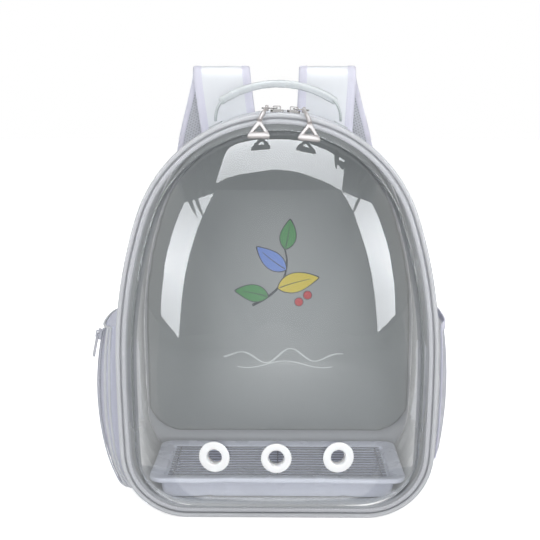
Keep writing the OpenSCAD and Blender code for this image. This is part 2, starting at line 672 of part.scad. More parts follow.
// Way of a strap, as [across, depth, height] points chosen by hand: up, over and down behind
strap_mid_y = max(back_y, rear_pipe_y + piping_d / 2) + seam_gap + strap_t / 2 + 0.1;
strap_peak_z = strap_top_z - strap_t / 2;
strap_way = [
    [53, strap_mid_y, yoke_top_z + seam_gap], [55, strap_mid_y, 400], [58, strap_mid_y + 1, 432],
    [60, strap_mid_y + 3, strap_peak_z - 11], [61, strap_mid_y + 11.5, strap_peak_z],
    [63, strap_mid_y + 20, strap_peak_z - 11], [70, strap_mid_y + 24, 430],
    [84, strap_mid_y + 29, 380], [95, strap_mid_y + 34, 320], [101, strap_mid_y + 33, 262],
    [104, strap_mid_y + 27, 218]];
function spline_at(p, i, t) = let (n = len(p) - 1,
        a = p[max(0, i - 1)], b = p[i], c = p[min(n, i + 1)], d = p[min(n, i + 2)])
    0.5 * (2 * b + (c - a) * t + (2 * a - 5 * b + 4 * c - d) * t * t + (3 * b - a - 3 * c + d) * t * t * t);
function spline(p, per) = concat(
    [for (i = [0:len(p) - 2], k = [0:per - 1]) spline_at(p, i, k / per)], [p[len(p) - 1]]);
function tangent(p, i) = unit(p[min(len(p) - 1, i + 1)] - p[max(0, i - 1)]);
function flat_section(w, t) = [[w / 2, -t / 4], [w / 2, t / 4], [w / 2 - t / 4, t / 2], [-w / 2 + t / 4, t / 2],
    [-w / 2, t / 4], [-w / 2, -t / 4], [-w / 2 + t / 4, -t / 2], [w / 2 - t / 4, -t / 2]];
module flat_sweep(way, widths, t) {
    n = len(way) - 1;
    loft([for (i = [0:n]) let (g = tangent(way, i), out = unit([0, g[2], -g[1]]),
            w = widths[0] + (widths[1] - widths[0]) * pow(i / n, 3))
        [for (s = flat_section(w, t)) way[i] + s[0] * [1, 0, 0] + s[1] * out]]);
}
module strap(side) {
    color("whitesmoke") mirror([side < 0 ? 1 : 0, 0, 0]) flat_sweep(spline(strap_way, 4), [strap_w, strap_w * 0.72], strap_t);
}

// Adjusting webbing: from the strap's lower end through its buckle to the corner anchor
anchor_x = 122;
anchor_z = 58;
webbing_t = 1.8;
lock_z = 203;
webbing_way = [
    [104.5, strap_mid_y + 26.4, 217 - seam_gap * 3], [105.5, strap_mid_y + 24.5, 200], [108, strap_mid_y + 19, 165],
    [114, strap_mid_y + 9, 115], [anchor_x - 1, back_y + 3.6, anchor_z + 14]];
module webbing(side) {
    color("gray") mirror([side < 0 ? 1 : 0, 0, 0]) flat_sweep(spline(webbing_way, 4), [webbing_w, webbing_w], webbing_t);
}
module strap_anchors() {
    color("gainsboro") both_sides() across(back_y + seam_gap, back_y + 4.5)
        polygon(rounded([[anchor_x - 18, anchor_z - 20], [anchor_x + 20, anchor_z - 8], [anchor_x + 13, anchor_z + 13],
            [anchor_x - 15, anchor_z + 13]], [3, 3, 3, 3]));
}
module ladder_lock(side) {
    w = webbing_w + 9;
    bar = 4;
    h = 24;
    color("dimgray") mirror([side < 0 ? 1 : 0, 0, 0])
        translate([106, strap_mid_y + 23.9 + webbing_t / 2 + 2.6, lock_z - 6]) rotate([82, 0, 0])
            linear_extrude(3.4, center = true) difference() {
                polygon(round_rect(w, h, 3));
                for (k = [-1, 1]) translate([0, k * 5.5]) polygon(round_rect(w - 2 * bar, 5.6, 1));
            }
}

gusset_band();
back_board();
rear_piping();
floor_board();
back_lining_panel();
mesh_window(-1);  // mesh_window_left
mesh_window(1);  // mesh_window_right
body_zip_tape();
left_pocket();
left_pocket_zip();
left_pocket_slider();
left_pocket_pull();
right_pocket();
right_pocket_hem();
handle_anchors();
handle_tabs();
handle_grip();
back_pads();
strap_yoke();
strap(-1);  // strap_left
strap(1);  // strap_right
strap_anchors();
webbing(-1);  // webbing_left
webbing(1);  // webbing_right
ladder_lock(-1);  // ladder_lock_left
ladder_lock(1);  // ladder_lock_right
door_frame();
door_piping();
door_binding();
dome();
vent_rings();
door_zip_tape();
hinge_strip();
slider(-1);  // slider_left
slider(1);  // slider_right
pull(-1);  // pull_left
pull(1);  // pull_right
tray();
grid_bars();
grid_cross_wires();
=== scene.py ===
# %% [markdown]
# # A backpack carrier for a small bird
# The carrier is a fabric body with a round top. Its front is a zipped door that holds a clear
# moulded dome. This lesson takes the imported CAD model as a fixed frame, gives every hard piece
# its finish, and replaces every soft piece with one that is sewn, padded or woven.
# All sizes are in millimetres; they become Blender's metres only where a mesh is made.

# %% Load the frame
import math

import bmesh
import bpy
import numpy as np
from mathutils import Matrix, Vector, noise


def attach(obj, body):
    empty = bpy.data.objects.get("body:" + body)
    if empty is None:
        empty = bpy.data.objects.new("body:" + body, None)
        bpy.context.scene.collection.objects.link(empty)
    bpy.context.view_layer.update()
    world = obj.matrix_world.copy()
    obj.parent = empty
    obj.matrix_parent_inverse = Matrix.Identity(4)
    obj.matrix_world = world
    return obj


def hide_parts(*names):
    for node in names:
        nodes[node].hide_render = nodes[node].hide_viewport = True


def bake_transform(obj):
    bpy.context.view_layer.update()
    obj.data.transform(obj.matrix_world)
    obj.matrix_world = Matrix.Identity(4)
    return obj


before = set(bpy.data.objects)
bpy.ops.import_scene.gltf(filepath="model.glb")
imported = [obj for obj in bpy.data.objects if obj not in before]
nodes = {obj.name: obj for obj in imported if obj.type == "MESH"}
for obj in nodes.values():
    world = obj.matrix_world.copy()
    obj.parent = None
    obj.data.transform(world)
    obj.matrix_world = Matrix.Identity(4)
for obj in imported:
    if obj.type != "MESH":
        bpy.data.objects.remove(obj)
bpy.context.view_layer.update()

print("pieces in the frame:", len(nodes))

# %% [markdown]
# ## The outline
# The door, the piping, the zip and the side wall all follow one outline, so it is made once:
# straight base, round corners, nearly straight sides, round top. Points are spaced evenly along
# it and each keeps its outward direction, so that a line `e` inside the edge is simply a step
# back along that direction.

# %% Outline of the body
BODY_W, BODY_H, ARCH_R, CORNER_R, FLARE = 332, 420, 150, 70, math.radians(18)
HALF_W, ARCH_Z, LOW_R = BODY_W / 2, BODY_H - ARCH_R, 1800
SIDE_R = (HALF_W - ARCH_R * math.cos(FLARE)) / (1 - math.cos(FLARE))
WAIST_Z = ARCH_Z - (SIDE_R - ARCH_R) * math.sin(FLARE)
LOW_A = math.asin((WAIST_Z - CORNER_R) / (LOW_R - CORNER_R))
CORNER_X = HALF_W - LOW_R + (LOW_R - CORNER_R) * math.cos(LOW_A)


def even_outline(n):
    """n evenly spaced points of the outline, from the middle of the base round by the right side."""
    arcs = [((CORNER_X, CORNER_R), CORNER_R, -math.pi / 2, -LOW_A), ((HALF_W - LOW_R, WAIST_Z), LOW_R, -LOW_A, 0),
            ((HALF_W - SIDE_R, WAIST_Z), SIDE_R, 0, FLARE), ((0, ARCH_Z), ARCH_R, FLARE, math.pi / 2)]
    place, out = [(0, 0)], [(0, -1)]
    for (cx, cz), r, a0, a1 in arcs:
        for a in np.linspace(a0, a1, 60):
            place.append((cx + r * math.cos(a), cz + r * math.sin(a)))
            out.append((math.cos(a), math.sin(a)))
    place, out = np.array(place), np.array(out)
    flip = np.array([-1, 1])
    place, out = np.vstack([place, place[-2::-1] * flip]), np.vstack([out, out[-2::-1] * flip])
    way = np.r_[0, np.cumsum(np.linalg.norm(np.diff(place, axis=0), axis=1))]
    at = np.linspace(0, way[-1], n, endpoint=False)
    place = np.c_[np.interp(at, way, place[:, 0]), np.interp(at, way, place[:, 1])]
    out = np.c_[np.interp(at, way, out[:, 0]), np.interp(at, way, out[:, 1])]
    return place, out / np.linalg.norm(out, axis=1)[:, None], way[-1]


RIM_N = 288
rim, rim_out, rim_length = even_outline(RIM_N)
print("outline length", round(rim_length), "mm")


def inset(e):
    """The outline, e millimetres inside the body's edge, as [x, z] points."""
    return rim - np.asarray(e).reshape(-1, 1) * rim_out


def upright(ring, y):
    """A ring of [x, z] points, stood up at the depth y, as [x, y, z]."""
    return np.c_[ring[:, 0], np.full(len(ring), y), ring[:, 1]]


def side_x(z):
    """Half width of the body at a height on its lower, nearly straight side."""
    if z > CORNER_R * (1 - math.sin(LOW_A)):
        return HALF_W - LOW_R + math.sqrt(LOW_R ** 2 - (z - WAIST_Z) ** 2)
    return CORNER_X + math.sqrt(CORNER_R ** 2 - (z - CORNER_R) ** 2)


# %% [markdown]
# ## Mesh helpers
# Most soft pieces here are grids of points: rows along the piece, each row a section across it.
# One function turns such a grid into a mesh, with a UV map in real metres, so a weave drawn on
# it keeps its true size and follows the surface.

# %% From points to a piece
MM = 0.001  # one millimetre in Blender's metres
collection = bpy.context.scene.collection


def object_from(name, mesh):
    piece = bpy.data.objects.new(name, mesh)
    collection.objects.link(piece)
    return piece


def mesh_of(name, work):
    """The mesh that was built in a bmesh."""
    mesh = bpy.data.meshes.new(name)
    work.to_mesh(mesh)
    work.free()
    return mesh


def plain(piece):
    """What a piece's modifiers make of it, as a mesh of its own."""
    bpy.context.view_layer.update()
    return bpy.data.meshes.new_from_object(piece.evaluated_get(bpy.context.evaluated_depsgraph_get()))


def sharpen(mesh, angle=40):
    """Smooth shading, with edges sharper than the angle kept crisp, and faces turned outwards."""
    work = bmesh.new()
    work.from_mesh(mesh)
    bmesh.ops.recalc_face_normals(work, faces=work.faces)
    for face in work.faces:
        face.smooth = True
    for edge in work.edges:
        edge.smooth = len(edge.link_faces) == 2 and edge.calc_face_angle(0) < math.radians(angle)
    work.to_mesh(mesh)
    work.free()


def give_uv(mesh, uvs):
    """A UV map in metres, from one pair of millimetres for each corner of each face."""
    mesh.uv_layers.new(name="UVMap").data.foreach_set("uv", (np.array(uvs) * MM).astype(np.float32).ravel())


def grid(name, rows, wrap_rows=False, wrap_section=True, angle=40):
    """A mesh from rows[i][k] = [x, y, z] in millimetres; the open ends of a closed section get caps."""
    rows = np.asarray(rows, float)
    n, m = rows.shape[:2]
    along = np.r_[0, np.cumsum(np.linalg.norm(np.diff(rows, axis=0), axis=2).mean(axis=1))]
    along = np.r_[along, along[-1] + np.linalg.norm(rows[0] - rows[-1], axis=1).mean()]
    ring = np.linalg.norm(np.roll(rows, -1, axis=1) - rows, axis=2).mean(axis=0)
    across = np.r_[0, np.cumsum(ring)]
    faces, uvs = [], []
    for i in range(n if wrap_rows else n - 1):
        j = (i + 1) % n
        for k in range(m if wrap_section else m - 1):
            l = (k + 1) % m
            faces.append((i * m + k, i * m + l, j * m + l, j * m + k))
            uvs += [(along[i], across[k]), (along[i], across[k + 1]),
                    (along[i + 1], across[k + 1]), (along[i + 1], across[k])]
    if wrap_section and not wrap_rows:
        for i in (0, n - 1):
            faces.append(tuple(range(i * m, i * m + m)))
            uvs += rows[i, :, :2].tolist()
    mesh = bpy.data.meshes.new(name)
    mesh.from_pydata((rows.reshape(-1, 3) * MM).tolist(), [], faces)
    give_uv(mesh, uvs)
    sharpen(mesh, angle)
    return object_from(name, mesh)


print("one millimetre is", MM, "m")


# %% Sweeps round the outline
noise.seed_set(5)  # unseeded, noise_vector would differ from run to run


def sweep(section, index=slice(None)):
    """Rows of a section of [inset, y] points, carried round the outline or a part of it."""
    return np.stack([upright(inset(e)[index], y) for e, y in section], axis=1)


def wander(rows, amount, size=38.0, seed=0.0):
    """Small slow changes of place, as sewn and padded work has; rows are millimetres."""
    out = rows.copy()
    for at in np.ndindex(rows.shape[:2]):
        out[at] += np.array(noise.noise_vector(Vector(rows[at] / size) + Vector((seed, 0, 0)))) * amount
    return out


def along_rim(name, section, angle, *ease):
    """A closed section of [inset, y] points, swept once round the outline, with some wander."""
    return grid(name, wander(sweep(section), *ease), wrap_rows=True, angle=angle)


print("the outline stands from", np.round(rim.min(axis=0)), "to", np.round(rim.max(axis=0)))


# %% Lines and tubes
def unit(v):
    v = np.asarray(v, float)
    return v / np.linalg.norm(v, axis=-1, keepdims=True)


def spline(points, per=8):
    """Smooth way through given points."""
    p = np.asarray(points, float)
    p = np.vstack([p[0], p, p[-1]])
    out = []
    for a, b, c, d in zip(p, p[1:], p[2:], p[3:]):
        for t in np.arange(per) / per:
            out.append(0.5 * (2 * b + (c - a) * t + (2 * a - 5 * b + 4 * c - d) * t * t
                              + (3 * b - a - 3 * c + d) * t ** 3))
    return np.array(out + [p[-2]])


def even_way(points, step, closed=False):
    """The same line with its points one step apart."""
    p = np.asarray(points, float)
    if closed:
        p = np.vstack([p, p[:1]])
    way = np.r_[0, np.cumsum(np.linalg.norm(np.diff(p, axis=0), axis=1))]
    at = np.linspace(0, way[-1], max(3, int(round(way[-1] / step))) + 1)
    out = np.stack([np.interp(at, way, p[:, k]) for k in range(p.shape[1])], axis=1)
    return out[:-1] if closed else out


def tube(name, way, radius, sides=12, closed=False, flat=1.0, up=None):
    """Round or oval tube along a way; radius may be one number or one for each point."""
    way = np.asarray(way, float)
    go = np.roll(way, -1, axis=0) - np.roll(way, 1, axis=0)
    if not closed:
        go[0], go[-1] = way[1] - way[0], way[-1] - way[-2]
    go = unit(go)
    side = np.cross(go[0], up if up is not None else (0.3, 0.5, 0.8))
    a = np.linspace(0, 2 * math.pi, sides, endpoint=False)[:, None]
    rows = []
    for p, g, r in zip(way, go, np.broadcast_to(radius, len(way))):
        side = unit(np.cross(g, up) if up is not None else side - g * (side @ g))
        rows.append(p + r * (np.cos(a) * side + np.sin(a) * np.cross(g, side) * flat))
    return grid(name, rows, wrap_rows=closed, angle=60)


print("a step of 1.2 mm gives", len(even_way(rim, 1.2, closed=True)), "points round the outline")

# %% [markdown]
# ## Node helpers
# Every tree below, for shapes as for surfaces, is written with the same helpers: one makes an
# empty tree with named inputs and outputs, one adds a node and joins or sets its sockets.

# %% Building nodes
SOCKETS = {tuple: "Vector", float: "Float", int: "Int"}


def new_tree(name, kind, inputs, outputs):
    """An empty tree; a socket is named with its first value, or with its kind if it has none."""
    tree = bpy.data.node_groups.new(name, kind)
    for way, sockets in (("INPUT", inputs), ("OUTPUT", outputs)):
        for label, value in sockets.items():
            sort = value if isinstance(value, str) else SOCKETS[type(value)]
            socket = tree.interface.new_socket(label, in_out=way, socket_type="NodeSocket" + sort)
            if sort != value:
                socket.default_value = value
    return tree, tree.nodes.new("NodeGroupInput").outputs, tree.nodes.new("NodeGroupOutput").inputs


def put(tree, kind, settings=None, **sockets):
    """Adds a node; a socket is given by its name (spaces as underscores) or as s0, s1, ... by place."""
    node = tree.nodes.new(kind)
    for key, value in (settings or {}).items():
        setattr(node, key, value)
    for key, value in sockets.items():
        place = int(key[1:]) if key[0] == "s" and key[1:].isdigit() else key.replace("_", " ")
        if isinstance(value, bpy.types.NodeSocket):
            tree.links.new(value, node.inputs[place])
        else:
            node.inputs[place].default_value = value
    return node


def by_place(values):
    return {f"s{i}": value for i, value in enumerate(values)}


def calc(tree, operation, *values):
    return put(tree, "ShaderNodeMath", {"operation": operation}, **by_place(values)).outputs[0]


def vec(tree, operation, *values):
    return put(tree, "ShaderNodeVectorMath", {"operation": operation}, **by_place(values)).outputs


print("kinds of socket:", list(SOCKETS.values()))

# %% [markdown]
# ## Repeats with Geometry Nodes
# Stitches and zip teeth repeat hundreds of times along a line. A tree takes the line, spaces
# points on it, sets one small shape on each, turned along the line, and ends in real mesh. Its
# sizes are inputs, so one tree serves every row. Each shape leans a little, by a fixed seed.

# %% The tree that sets a shape along a line
REPEAT, given, out = new_tree("set along a line", "GeometryNodeTree",
                              {"Line": "Geometry", "Spacing": 0.004, "Length": 0.002, "Width": 0.0006,
                               "Height": 0.0005, "Finish": "Material", "Seed": 3}, {"Mesh": "Geometry"})
points = put(REPEAT, "GeometryNodeCurveToPoints", {"mode": "LENGTH"}, Curve=given["Line"], Length=given["Spacing"])
ball = put(REPEAT, "GeometryNodeMeshUVSphere", Segments=6, Rings=4, Radius=0.5).outputs["Mesh"]
size = put(REPEAT, "ShaderNodeCombineXYZ", X=given["Width"], Y=given["Height"], Z=given["Length"])
lean = put(REPEAT, "FunctionNodeRandomValue", {"data_type": "FLOAT_VECTOR"},
           Min=(0, 0, -0.04), Max=(0, 0, 0.04), Seed=given["Seed"])
placed = put(REPEAT, "GeometryNodeInstanceOnPoints", Points=points.outputs["Points"],
             Instance=put(REPEAT, "GeometryNodeSetShadeSmooth", s0=ball).outputs[0],
             Rotation=points.outputs["Rotation"], Scale=size.outputs[0])
leaning = put(REPEAT, "GeometryNodeRotateInstances", Instances=placed.outputs[0], Rotation=lean.outputs["Value"])
real = put(REPEAT, "GeometryNodeRealizeInstances", s0=leaning.outputs[0])
painted = put(REPEAT, "GeometryNodeSetMaterial", Geometry=real.outputs[0], Material=given["Finish"])
REPEAT.links.new(painted.outputs[0], out["Mesh"])
print(REPEAT.name, "has", len(REPEAT.nodes), "nodes")


# %% Lines through a tree
def through(tree, name, lines, inputs, closed=False):
    """Sends lines in millimetres through a tree and keeps the plain mesh that comes out."""
    curve = bpy.data.curves.new(name, "CURVE")
    curve.dimensions, curve.twist_mode = "3D", "Z_UP"
    for line in lines:
        part = curve.splines.new("POLY")
        part.points.add(len(line) - 1)
        places = np.c_[np.asarray(line) * MM, np.ones(len(line))]
        part.points.foreach_set("co", places.astype(np.float32).ravel())
        part.use_cyclic_u = closed
    piece = object_from(name + " line", curve)
    work = piece.modifiers.new("tree", "NODES")
    work.node_group = tree
    ids = {s.name: s.identifier for s in tree.interface.items_tree if s.in_out == "INPUT"}
    for label, value in inputs.items():
        work[ids[label]] = value
    mesh = plain(piece)
    mesh.name = name
    bpy.data.objects.remove(piece)
    return object_from(name, mesh)


row_count = 0


def row_of(name, lines, finish, *sizes, closed=False):
    """Small rounded shapes along lines, by their spacing, length, width and height in millimetres."""
    global row_count
    row_count += 1
    inputs = {label: size * MM for label, size in zip(("Spacing", "Length", "Width", "Height"), sizes)}
    return through(REPEAT, name, lines, {**inputs, "Finish": finish, "Seed": row_count}, closed)


print("inputs of", REPEAT.name, [s.name for s in given if s.name])

# %% [markdown]
# ## Shader groups
# Weave, ribs, air mesh, moulded grain and soft mottling are wanted by several materials, so each
# is a node group, built once. A group gives out only masks and heights. The shader itself, and
# the numbers that are the same all over a surface, stay in each material.

# %% Weave: threads that go over and under each other
def shader_group(name, inputs, *outputs):
    return new_tree(name, "ShaderNodeTree", inputs, dict.fromkeys(outputs, "Float"))


def split(tree, place):
    return put(tree, "ShaderNodeSeparateXYZ", s0=place).outputs


WEAVE, given, out = shader_group("weave", {"Place": (0, 0, 0), "Threads per metre": 900.0}, "Height", "Tone")
scaled = put(WEAVE, "ShaderNodeVectorMath", {"operation": "SCALE"}, s0=given["Place"],
             Scale=given["Threads per metre"]).outputs[0]
xyz = split(WEAVE, scaled)
warp, weft = (calc(WEAVE, "ABSOLUTE", calc(WEAVE, "SINE", calc(WEAVE, "MULTIPLY", axis, math.pi))) for axis in xyz[:2])
cell = calc(WEAVE, "ADD", calc(WEAVE, "FLOOR", xyz[0]), calc(WEAVE, "FLOOR", xyz[1]))
over = put(WEAVE, "ShaderNodeMix", {"data_type": "FLOAT"}, Factor=calc(WEAVE, "FLOORED_MODULO", cell, 2.0),
           A=warp, B=weft).outputs[0]
slub = put(WEAVE, "ShaderNodeTexNoise", Vector=scaled, Scale=0.35, Detail=2.0).outputs["Fac"]
WEAVE.links.new(over, out["Height"])
# the tone is the yarn's own slubs, plus painted shade: each thread darker toward its edges, where the weave dips
WEAVE.links.new(calc(WEAVE, "MULTIPLY_ADD", slub, 0.5, calc(WEAVE, "MULTIPLY", over, 0.5)), out["Tone"])
print(WEAVE.name, "has", len(WEAVE.nodes), "nodes")

# %% Ribs: webbing and binding tape
RIBS, given, out = shader_group("ribs", {"Place": (0, 0, 0), "Ribs per metre": 600.0}, "Height")
ribs, cross = (calc(RIBS, "SINE", calc(RIBS, "MULTIPLY", calc(RIBS, "MULTIPLY", axis, given["Ribs per metre"]), turn))
               for axis, turn in zip(split(RIBS, given["Place"]), (2 * math.pi, 9.0)))
RIBS.links.new(calc(RIBS, "MULTIPLY_ADD", cross, 0.18, calc(RIBS, "MULTIPLY_ADD", ribs, 0.35, 0.5)), out["Height"])
print(RIBS.name, "has", len(RIBS.nodes), "nodes")

# %% Net: round holes in a staggered pattern, for mesh pockets and air mesh
STAGGER = 1.732  # rows of holes stand this many times further apart than the holes in a row
NET, given, out = shader_group("net", {"Place": (0, 0, 0), "Pitch": 0.0036, "Hole": 0.3}, "Hole", "Height")
step = put(NET, "ShaderNodeCombineXYZ", X=given["Pitch"], Y=calc(NET, "MULTIPLY", given["Pitch"], STAGGER), Z=1.0)
holes = []
for shift in (0.0, 0.5):
    moved = vec(NET, "ADD", vec(NET, "DIVIDE", given["Place"], step.outputs[0])[0], (shift, shift, 0.0))[0]
    cell = vec(NET, "SUBTRACT", vec(NET, "FRACTION", moved)[0], (0.5, 0.5, 0.0))[0]
    holes.append(vec(NET, "LENGTH", vec(NET, "MULTIPLY", cell, (1.0, STAGGER, 0.0))[0])["Value"])
near = calc(NET, "MINIMUM", *holes)
edge = put(NET, "ShaderNodeMapRange", {"interpolation_type": "SMOOTHSTEP"}, Value=near, To_Min=0.0, To_Max=1.0,
           From_Min=calc(NET, "MULTIPLY", given["Hole"], 1.15), From_Max=calc(NET, "MULTIPLY", given["Hole"], 0.85))
rise = put(NET, "ShaderNodeMapRange", Value=near, From_Min=0.1, From_Max=0.6)
NET.links.new(edge.outputs[0], out["Hole"])
NET.links.new(rise.outputs[0], out["Height"])
print(NET.name, "has", len(NET.nodes), "nodes")

# %% Grain: the fine skin of coated cloth and moulded plastic; mottle: slow changes of tone
GRAIN, given, out = shader_group("grain", {"Place": (0, 0, 0), "Size": 0.001}, "Height")
scale = calc(GRAIN, "DIVIDE", 1.0, given["Size"])
cells = put(GRAIN, "ShaderNodeTexVoronoi", {"feature": "SMOOTH_F1"}, Vector=given["Place"], Scale=scale,
            Smoothness=0.6).outputs["Distance"]
fine = put(GRAIN, "ShaderNodeTexNoise", Vector=given["Place"], Scale=calc(GRAIN, "MULTIPLY", scale, 1.7),
           Detail=3.0).outputs["Fac"]
GRAIN.links.new(calc(GRAIN, "MULTIPLY_ADD", cells, 0.6, calc(GRAIN, "MULTIPLY", fine, 0.4)), out["Height"])

MOTTLE, given, out = shader_group("mottle", {"Place": (0, 0, 0), "Size": 0.08, "Contrast": 1.0}, "Tone")
slow = put(MOTTLE, "ShaderNodeTexNoise", Vector=given["Place"], Scale=calc(MOTTLE, "DIVIDE", 1.0, given["Size"]),
           Detail=4.0, Roughness=0.55).outputs["Fac"]
centred = calc(MOTTLE, "MULTIPLY", calc(MOTTLE, "SUBTRACT", slow, 0.5), given["Contrast"])
MOTTLE.links.new(calc(MOTTLE, "ADD", centred, 0.5), out["Tone"])
print("groups:", [g.name for g in bpy.data.node_groups])


# %% [markdown]
# ## Materials
# The real carrier has coated polyester on the body, woven binding and webbing, air mesh where it
# touches the back, a clear polycarbonate dome, a glossy moulded tray, white rubber rings and
# dark plated zip sliders. Colours are written as they look (sRGB) and turned to linear here.

# %% Material helpers
def tint(*rgb):
    return tuple(((c / 255 + 0.055) / 1.055) ** 2.4 if c > 10 else c / 255 / 12.92 for c in rgb) + (1.0,)


def material(name, colour, roughness, **fixed):
    """A material with its Principled shader; fixed numbers go straight on the shader's sockets."""
    mat = bpy.data.materials.new(name)
    mat.use_nodes = True
    sockets = mat.node_tree.nodes["Principled BSDF"].inputs
    for key, value in {"Base_Color": colour, "Roughness": roughness, **fixed}.items():
        sockets[key.replace("_", " ")].default_value = value
    return mat, mat.node_tree, sockets


def place_of(tree, read="Object"):
    """Coordinates in metres: the piece's UV map, its Object coordinates, or those seen from the front."""
    made = put(tree, "ShaderNodeTexCoord").outputs
    if read != "front":
        return made[read]
    xyz = split(tree, made["Object"])
    return put(tree, "ShaderNodeCombineXYZ", s0=xyz[0], s1=xyz[2], s2=xyz[1]).outputs[0]


def use(tree, group, **sockets):
    return put(tree, "ShaderNodeGroup", {"node_tree": group}, **sockets).outputs


def toned(tree, colour, tone, dark, light):
    """Colour that wanders between a darker and a lighter version of itself."""
    low, high = (tuple(min(1, c * k) for c in colour[:3]) + (1,) for k in (dark, light))
    return put(tree, "ShaderNodeMix", {"data_type": "RGBA"}, s0=tone, s6=low, s7=high).outputs[2]


def ranged(tree, value, low, high):
    return put(tree, "ShaderNodeMapRange", Value=value, To_Min=low, To_Max=high).outputs[0]


def bump(tree, sockets, height, distance, strength=0.6):
    node = put(tree, "ShaderNodeBump", Height=height, Distance=distance, Strength=strength)
    tree.links.new(node.outputs[0], sockets["Normal"])


print("silver, turned to linear:", [round(c, 3) for c in tint(205, 208, 214)])


# %% Cloth, netting and moulded surfaces
def cloth(name, colour, pattern, size, depth, roughness=0.75, dark=0.9, light=1.05, read="UV", **fixed):
    """Cloth: a weave, ribs or grain of the given size, over slow changes of tone; a weave or ribs also get painted
    shade, darker in their grooves.
    """
    mat, tree, sockets = material(name, colour, roughness, **fixed)
    place = place_of(tree, read)
    tone = use(tree, MOTTLE, Place=place_of(tree), Size=0.07)["Tone"]
    if pattern == "weave":
        made = use(tree, WEAVE, Place=place, Threads_per_metre=1 / size)
        height, thread = made["Height"], made["Tone"]
    elif pattern == "ribs":
        height = thread = use(tree, RIBS, Place=place, Ribs_per_metre=1 / size)["Height"]
    else:
        height, thread = use(tree, GRAIN, Place=place, Size=size)["Height"], None
    # the weave's or ribs' height also darkens the colour where the cloth is low: painted shade in the grooves
    if thread is not None:
        tone = calc(tree, "MULTIPLY_ADD", thread, 0.5, calc(tree, "MULTIPLY", tone, 0.5))
    tree.links.new(toned(tree, colour, tone, dark, light), sockets["Base Color"])
    tree.links.new(ranged(tree, tone, roughness - 0.08, roughness + 0.08), sockets["Roughness"])
    bump(tree, sockets, height, depth)
    return mat


def netting(name, colour, pitch, hole, open_to, read="UV"):
    """Mesh cloth: open_to is how clear its holes are, from 0 (pits in air mesh, painted dark as painted shade) to 1
    (real holes).
    """
    mat, tree, sockets = material(name, colour, 0.7, Sheen_Weight=0.2)
    made = use(tree, NET, Place=place_of(tree, read), Pitch=pitch, Hole=hole)
    tone = use(tree, MOTTLE, Place=place_of(tree), Size=0.05)["Tone"]
    # the holes are darkened in the colour: painted shade in the pits of air mesh, and at the edges of real holes
    pit, dark = (-0.3, 0.8) if open_to else (-0.7, 0.42)
    shade = calc(tree, "MULTIPLY", tone, calc(tree, "MULTIPLY_ADD", made["Hole"], pit, 1.0))
    tree.links.new(toned(tree, colour, shade, dark, 1.1), sockets["Base Color"])
    if open_to:
        tree.links.new(calc(tree, "MULTIPLY_ADD", made["Hole"], -open_to, 1.0), sockets["Alpha"])
    bump(tree, sockets, made["Height"], 0.0006)
    return mat


def moulded(name, colour, roughness, size=0.0009, depth=0.00004, dark=0.96, light=1.03, **fixed):
    """Moulded or plated surface: fine grain and slow changes of tone and gloss."""
    mat, tree, sockets = material(name, colour, roughness, **fixed)
    place = place_of(tree)
    tone = use(tree, MOTTLE, Place=place, Size=0.03, Contrast=1.4)["Tone"]
    tree.links.new(toned(tree, colour, tone, dark, light), sockets["Base Color"])
    tree.links.new(ranged(tree, tone, max(0.02, roughness - 0.07), roughness + 0.07), sockets["Roughness"])
    bump(tree, sockets, use(tree, GRAIN, Place=place, Size=size)["Height"], depth)
    return mat


print("groups of nodes that the finishes share:", len(bpy.data.node_groups))


# %% The finishes of this carrier
BODY = cloth("silver coated cloth", tint(205, 208, 214), "weave", 0.0009, 0.0001, 0.55, Sheen_Weight=0.15)
FRAME = cloth("door frame cloth", tint(202, 204, 209), "grain", 0.0011, 0.00006, 0.42)
PIPING = cloth("piping cloth", tint(194, 196, 200), "grain", 0.0012, 0.00008, 0.4)
ROLL = cloth("door roll cloth", tint(188, 190, 195), "grain", 0.0011, 0.00008, 0.4)
BINDING = cloth("binding tape", tint(220, 220, 233), "ribs", 0.0013, 0.0001, 0.7)
LINING = cloth("pale lining", tint(184, 186, 188), "weave", 0.0007, 0.00008, 0.6)
PANEL = cloth("grey back lining", tint(154, 158, 159), "weave", 0.0008, 0.00005, 0.75, dark=0.95, light=1.03,
              read="front")
POCKET = cloth("pocket cloth", tint(186, 188, 202), "weave", 0.0009, 0.0001, 0.55, Sheen_Weight=0.15)
STRAP = cloth("strap face", tint(229, 232, 236), "grain", 0.0014, 0.00008, 0.45)
GRIP = cloth("grip skin", tint(206, 211, 213), "grain", 0.0013, 0.0001, 0.4)
WEBBING = cloth("webbing", tint(196, 202, 203), "ribs", 0.0021, 0.0004, 0.75)
TAPE = cloth("zip tape", tint(188, 190, 200), "ribs", 0.001, 0.00012, 0.8)
THREAD = cloth("sewing thread", tint(226, 226, 232), "grain", 0.0005, 0.00005, 0.6)
AIR_MESH = netting("air mesh", tint(232, 235, 243), 0.0034, 0.24, 0)
PAD_MESH = netting("pad mesh", tint(196, 199, 208), 0.0034, 0.24, 0, read="front")
NET_CLOTH = netting("net cloth", tint(196, 198, 208), 0.0028, 0.26, 0.92)
TEETH = moulded("zip teeth", tint(172, 175, 184), 0.35)
RUBBER = moulded("white rubber", tint(240, 240, 241), 0.38, depth=0.00003, Subsurface_Weight=0.05)
TRAY = moulded("tray plastic", tint(222, 225, 239), 0.28, size=0.0006, depth=0.00001, Coat_Weight=0.1)
WIRE = moulded("coated wire", tint(146, 148, 156), 0.4, Metallic=0.2)
PLATED = moulded("dark plating", tint(120, 118, 116), 0.22, Metallic=1.0, dark=0.7, light=1.15)
PAINTED = moulded("painted metal", tint(182, 184, 193), 0.35)
PULL = moulded("pull enamel", tint(172, 167, 166), 0.3, Coat_Weight=0.3)
BUCKLE = moulded("buckle plastic", tint(178, 181, 186), 0.4)
print("materials:", len(bpy.data.materials))

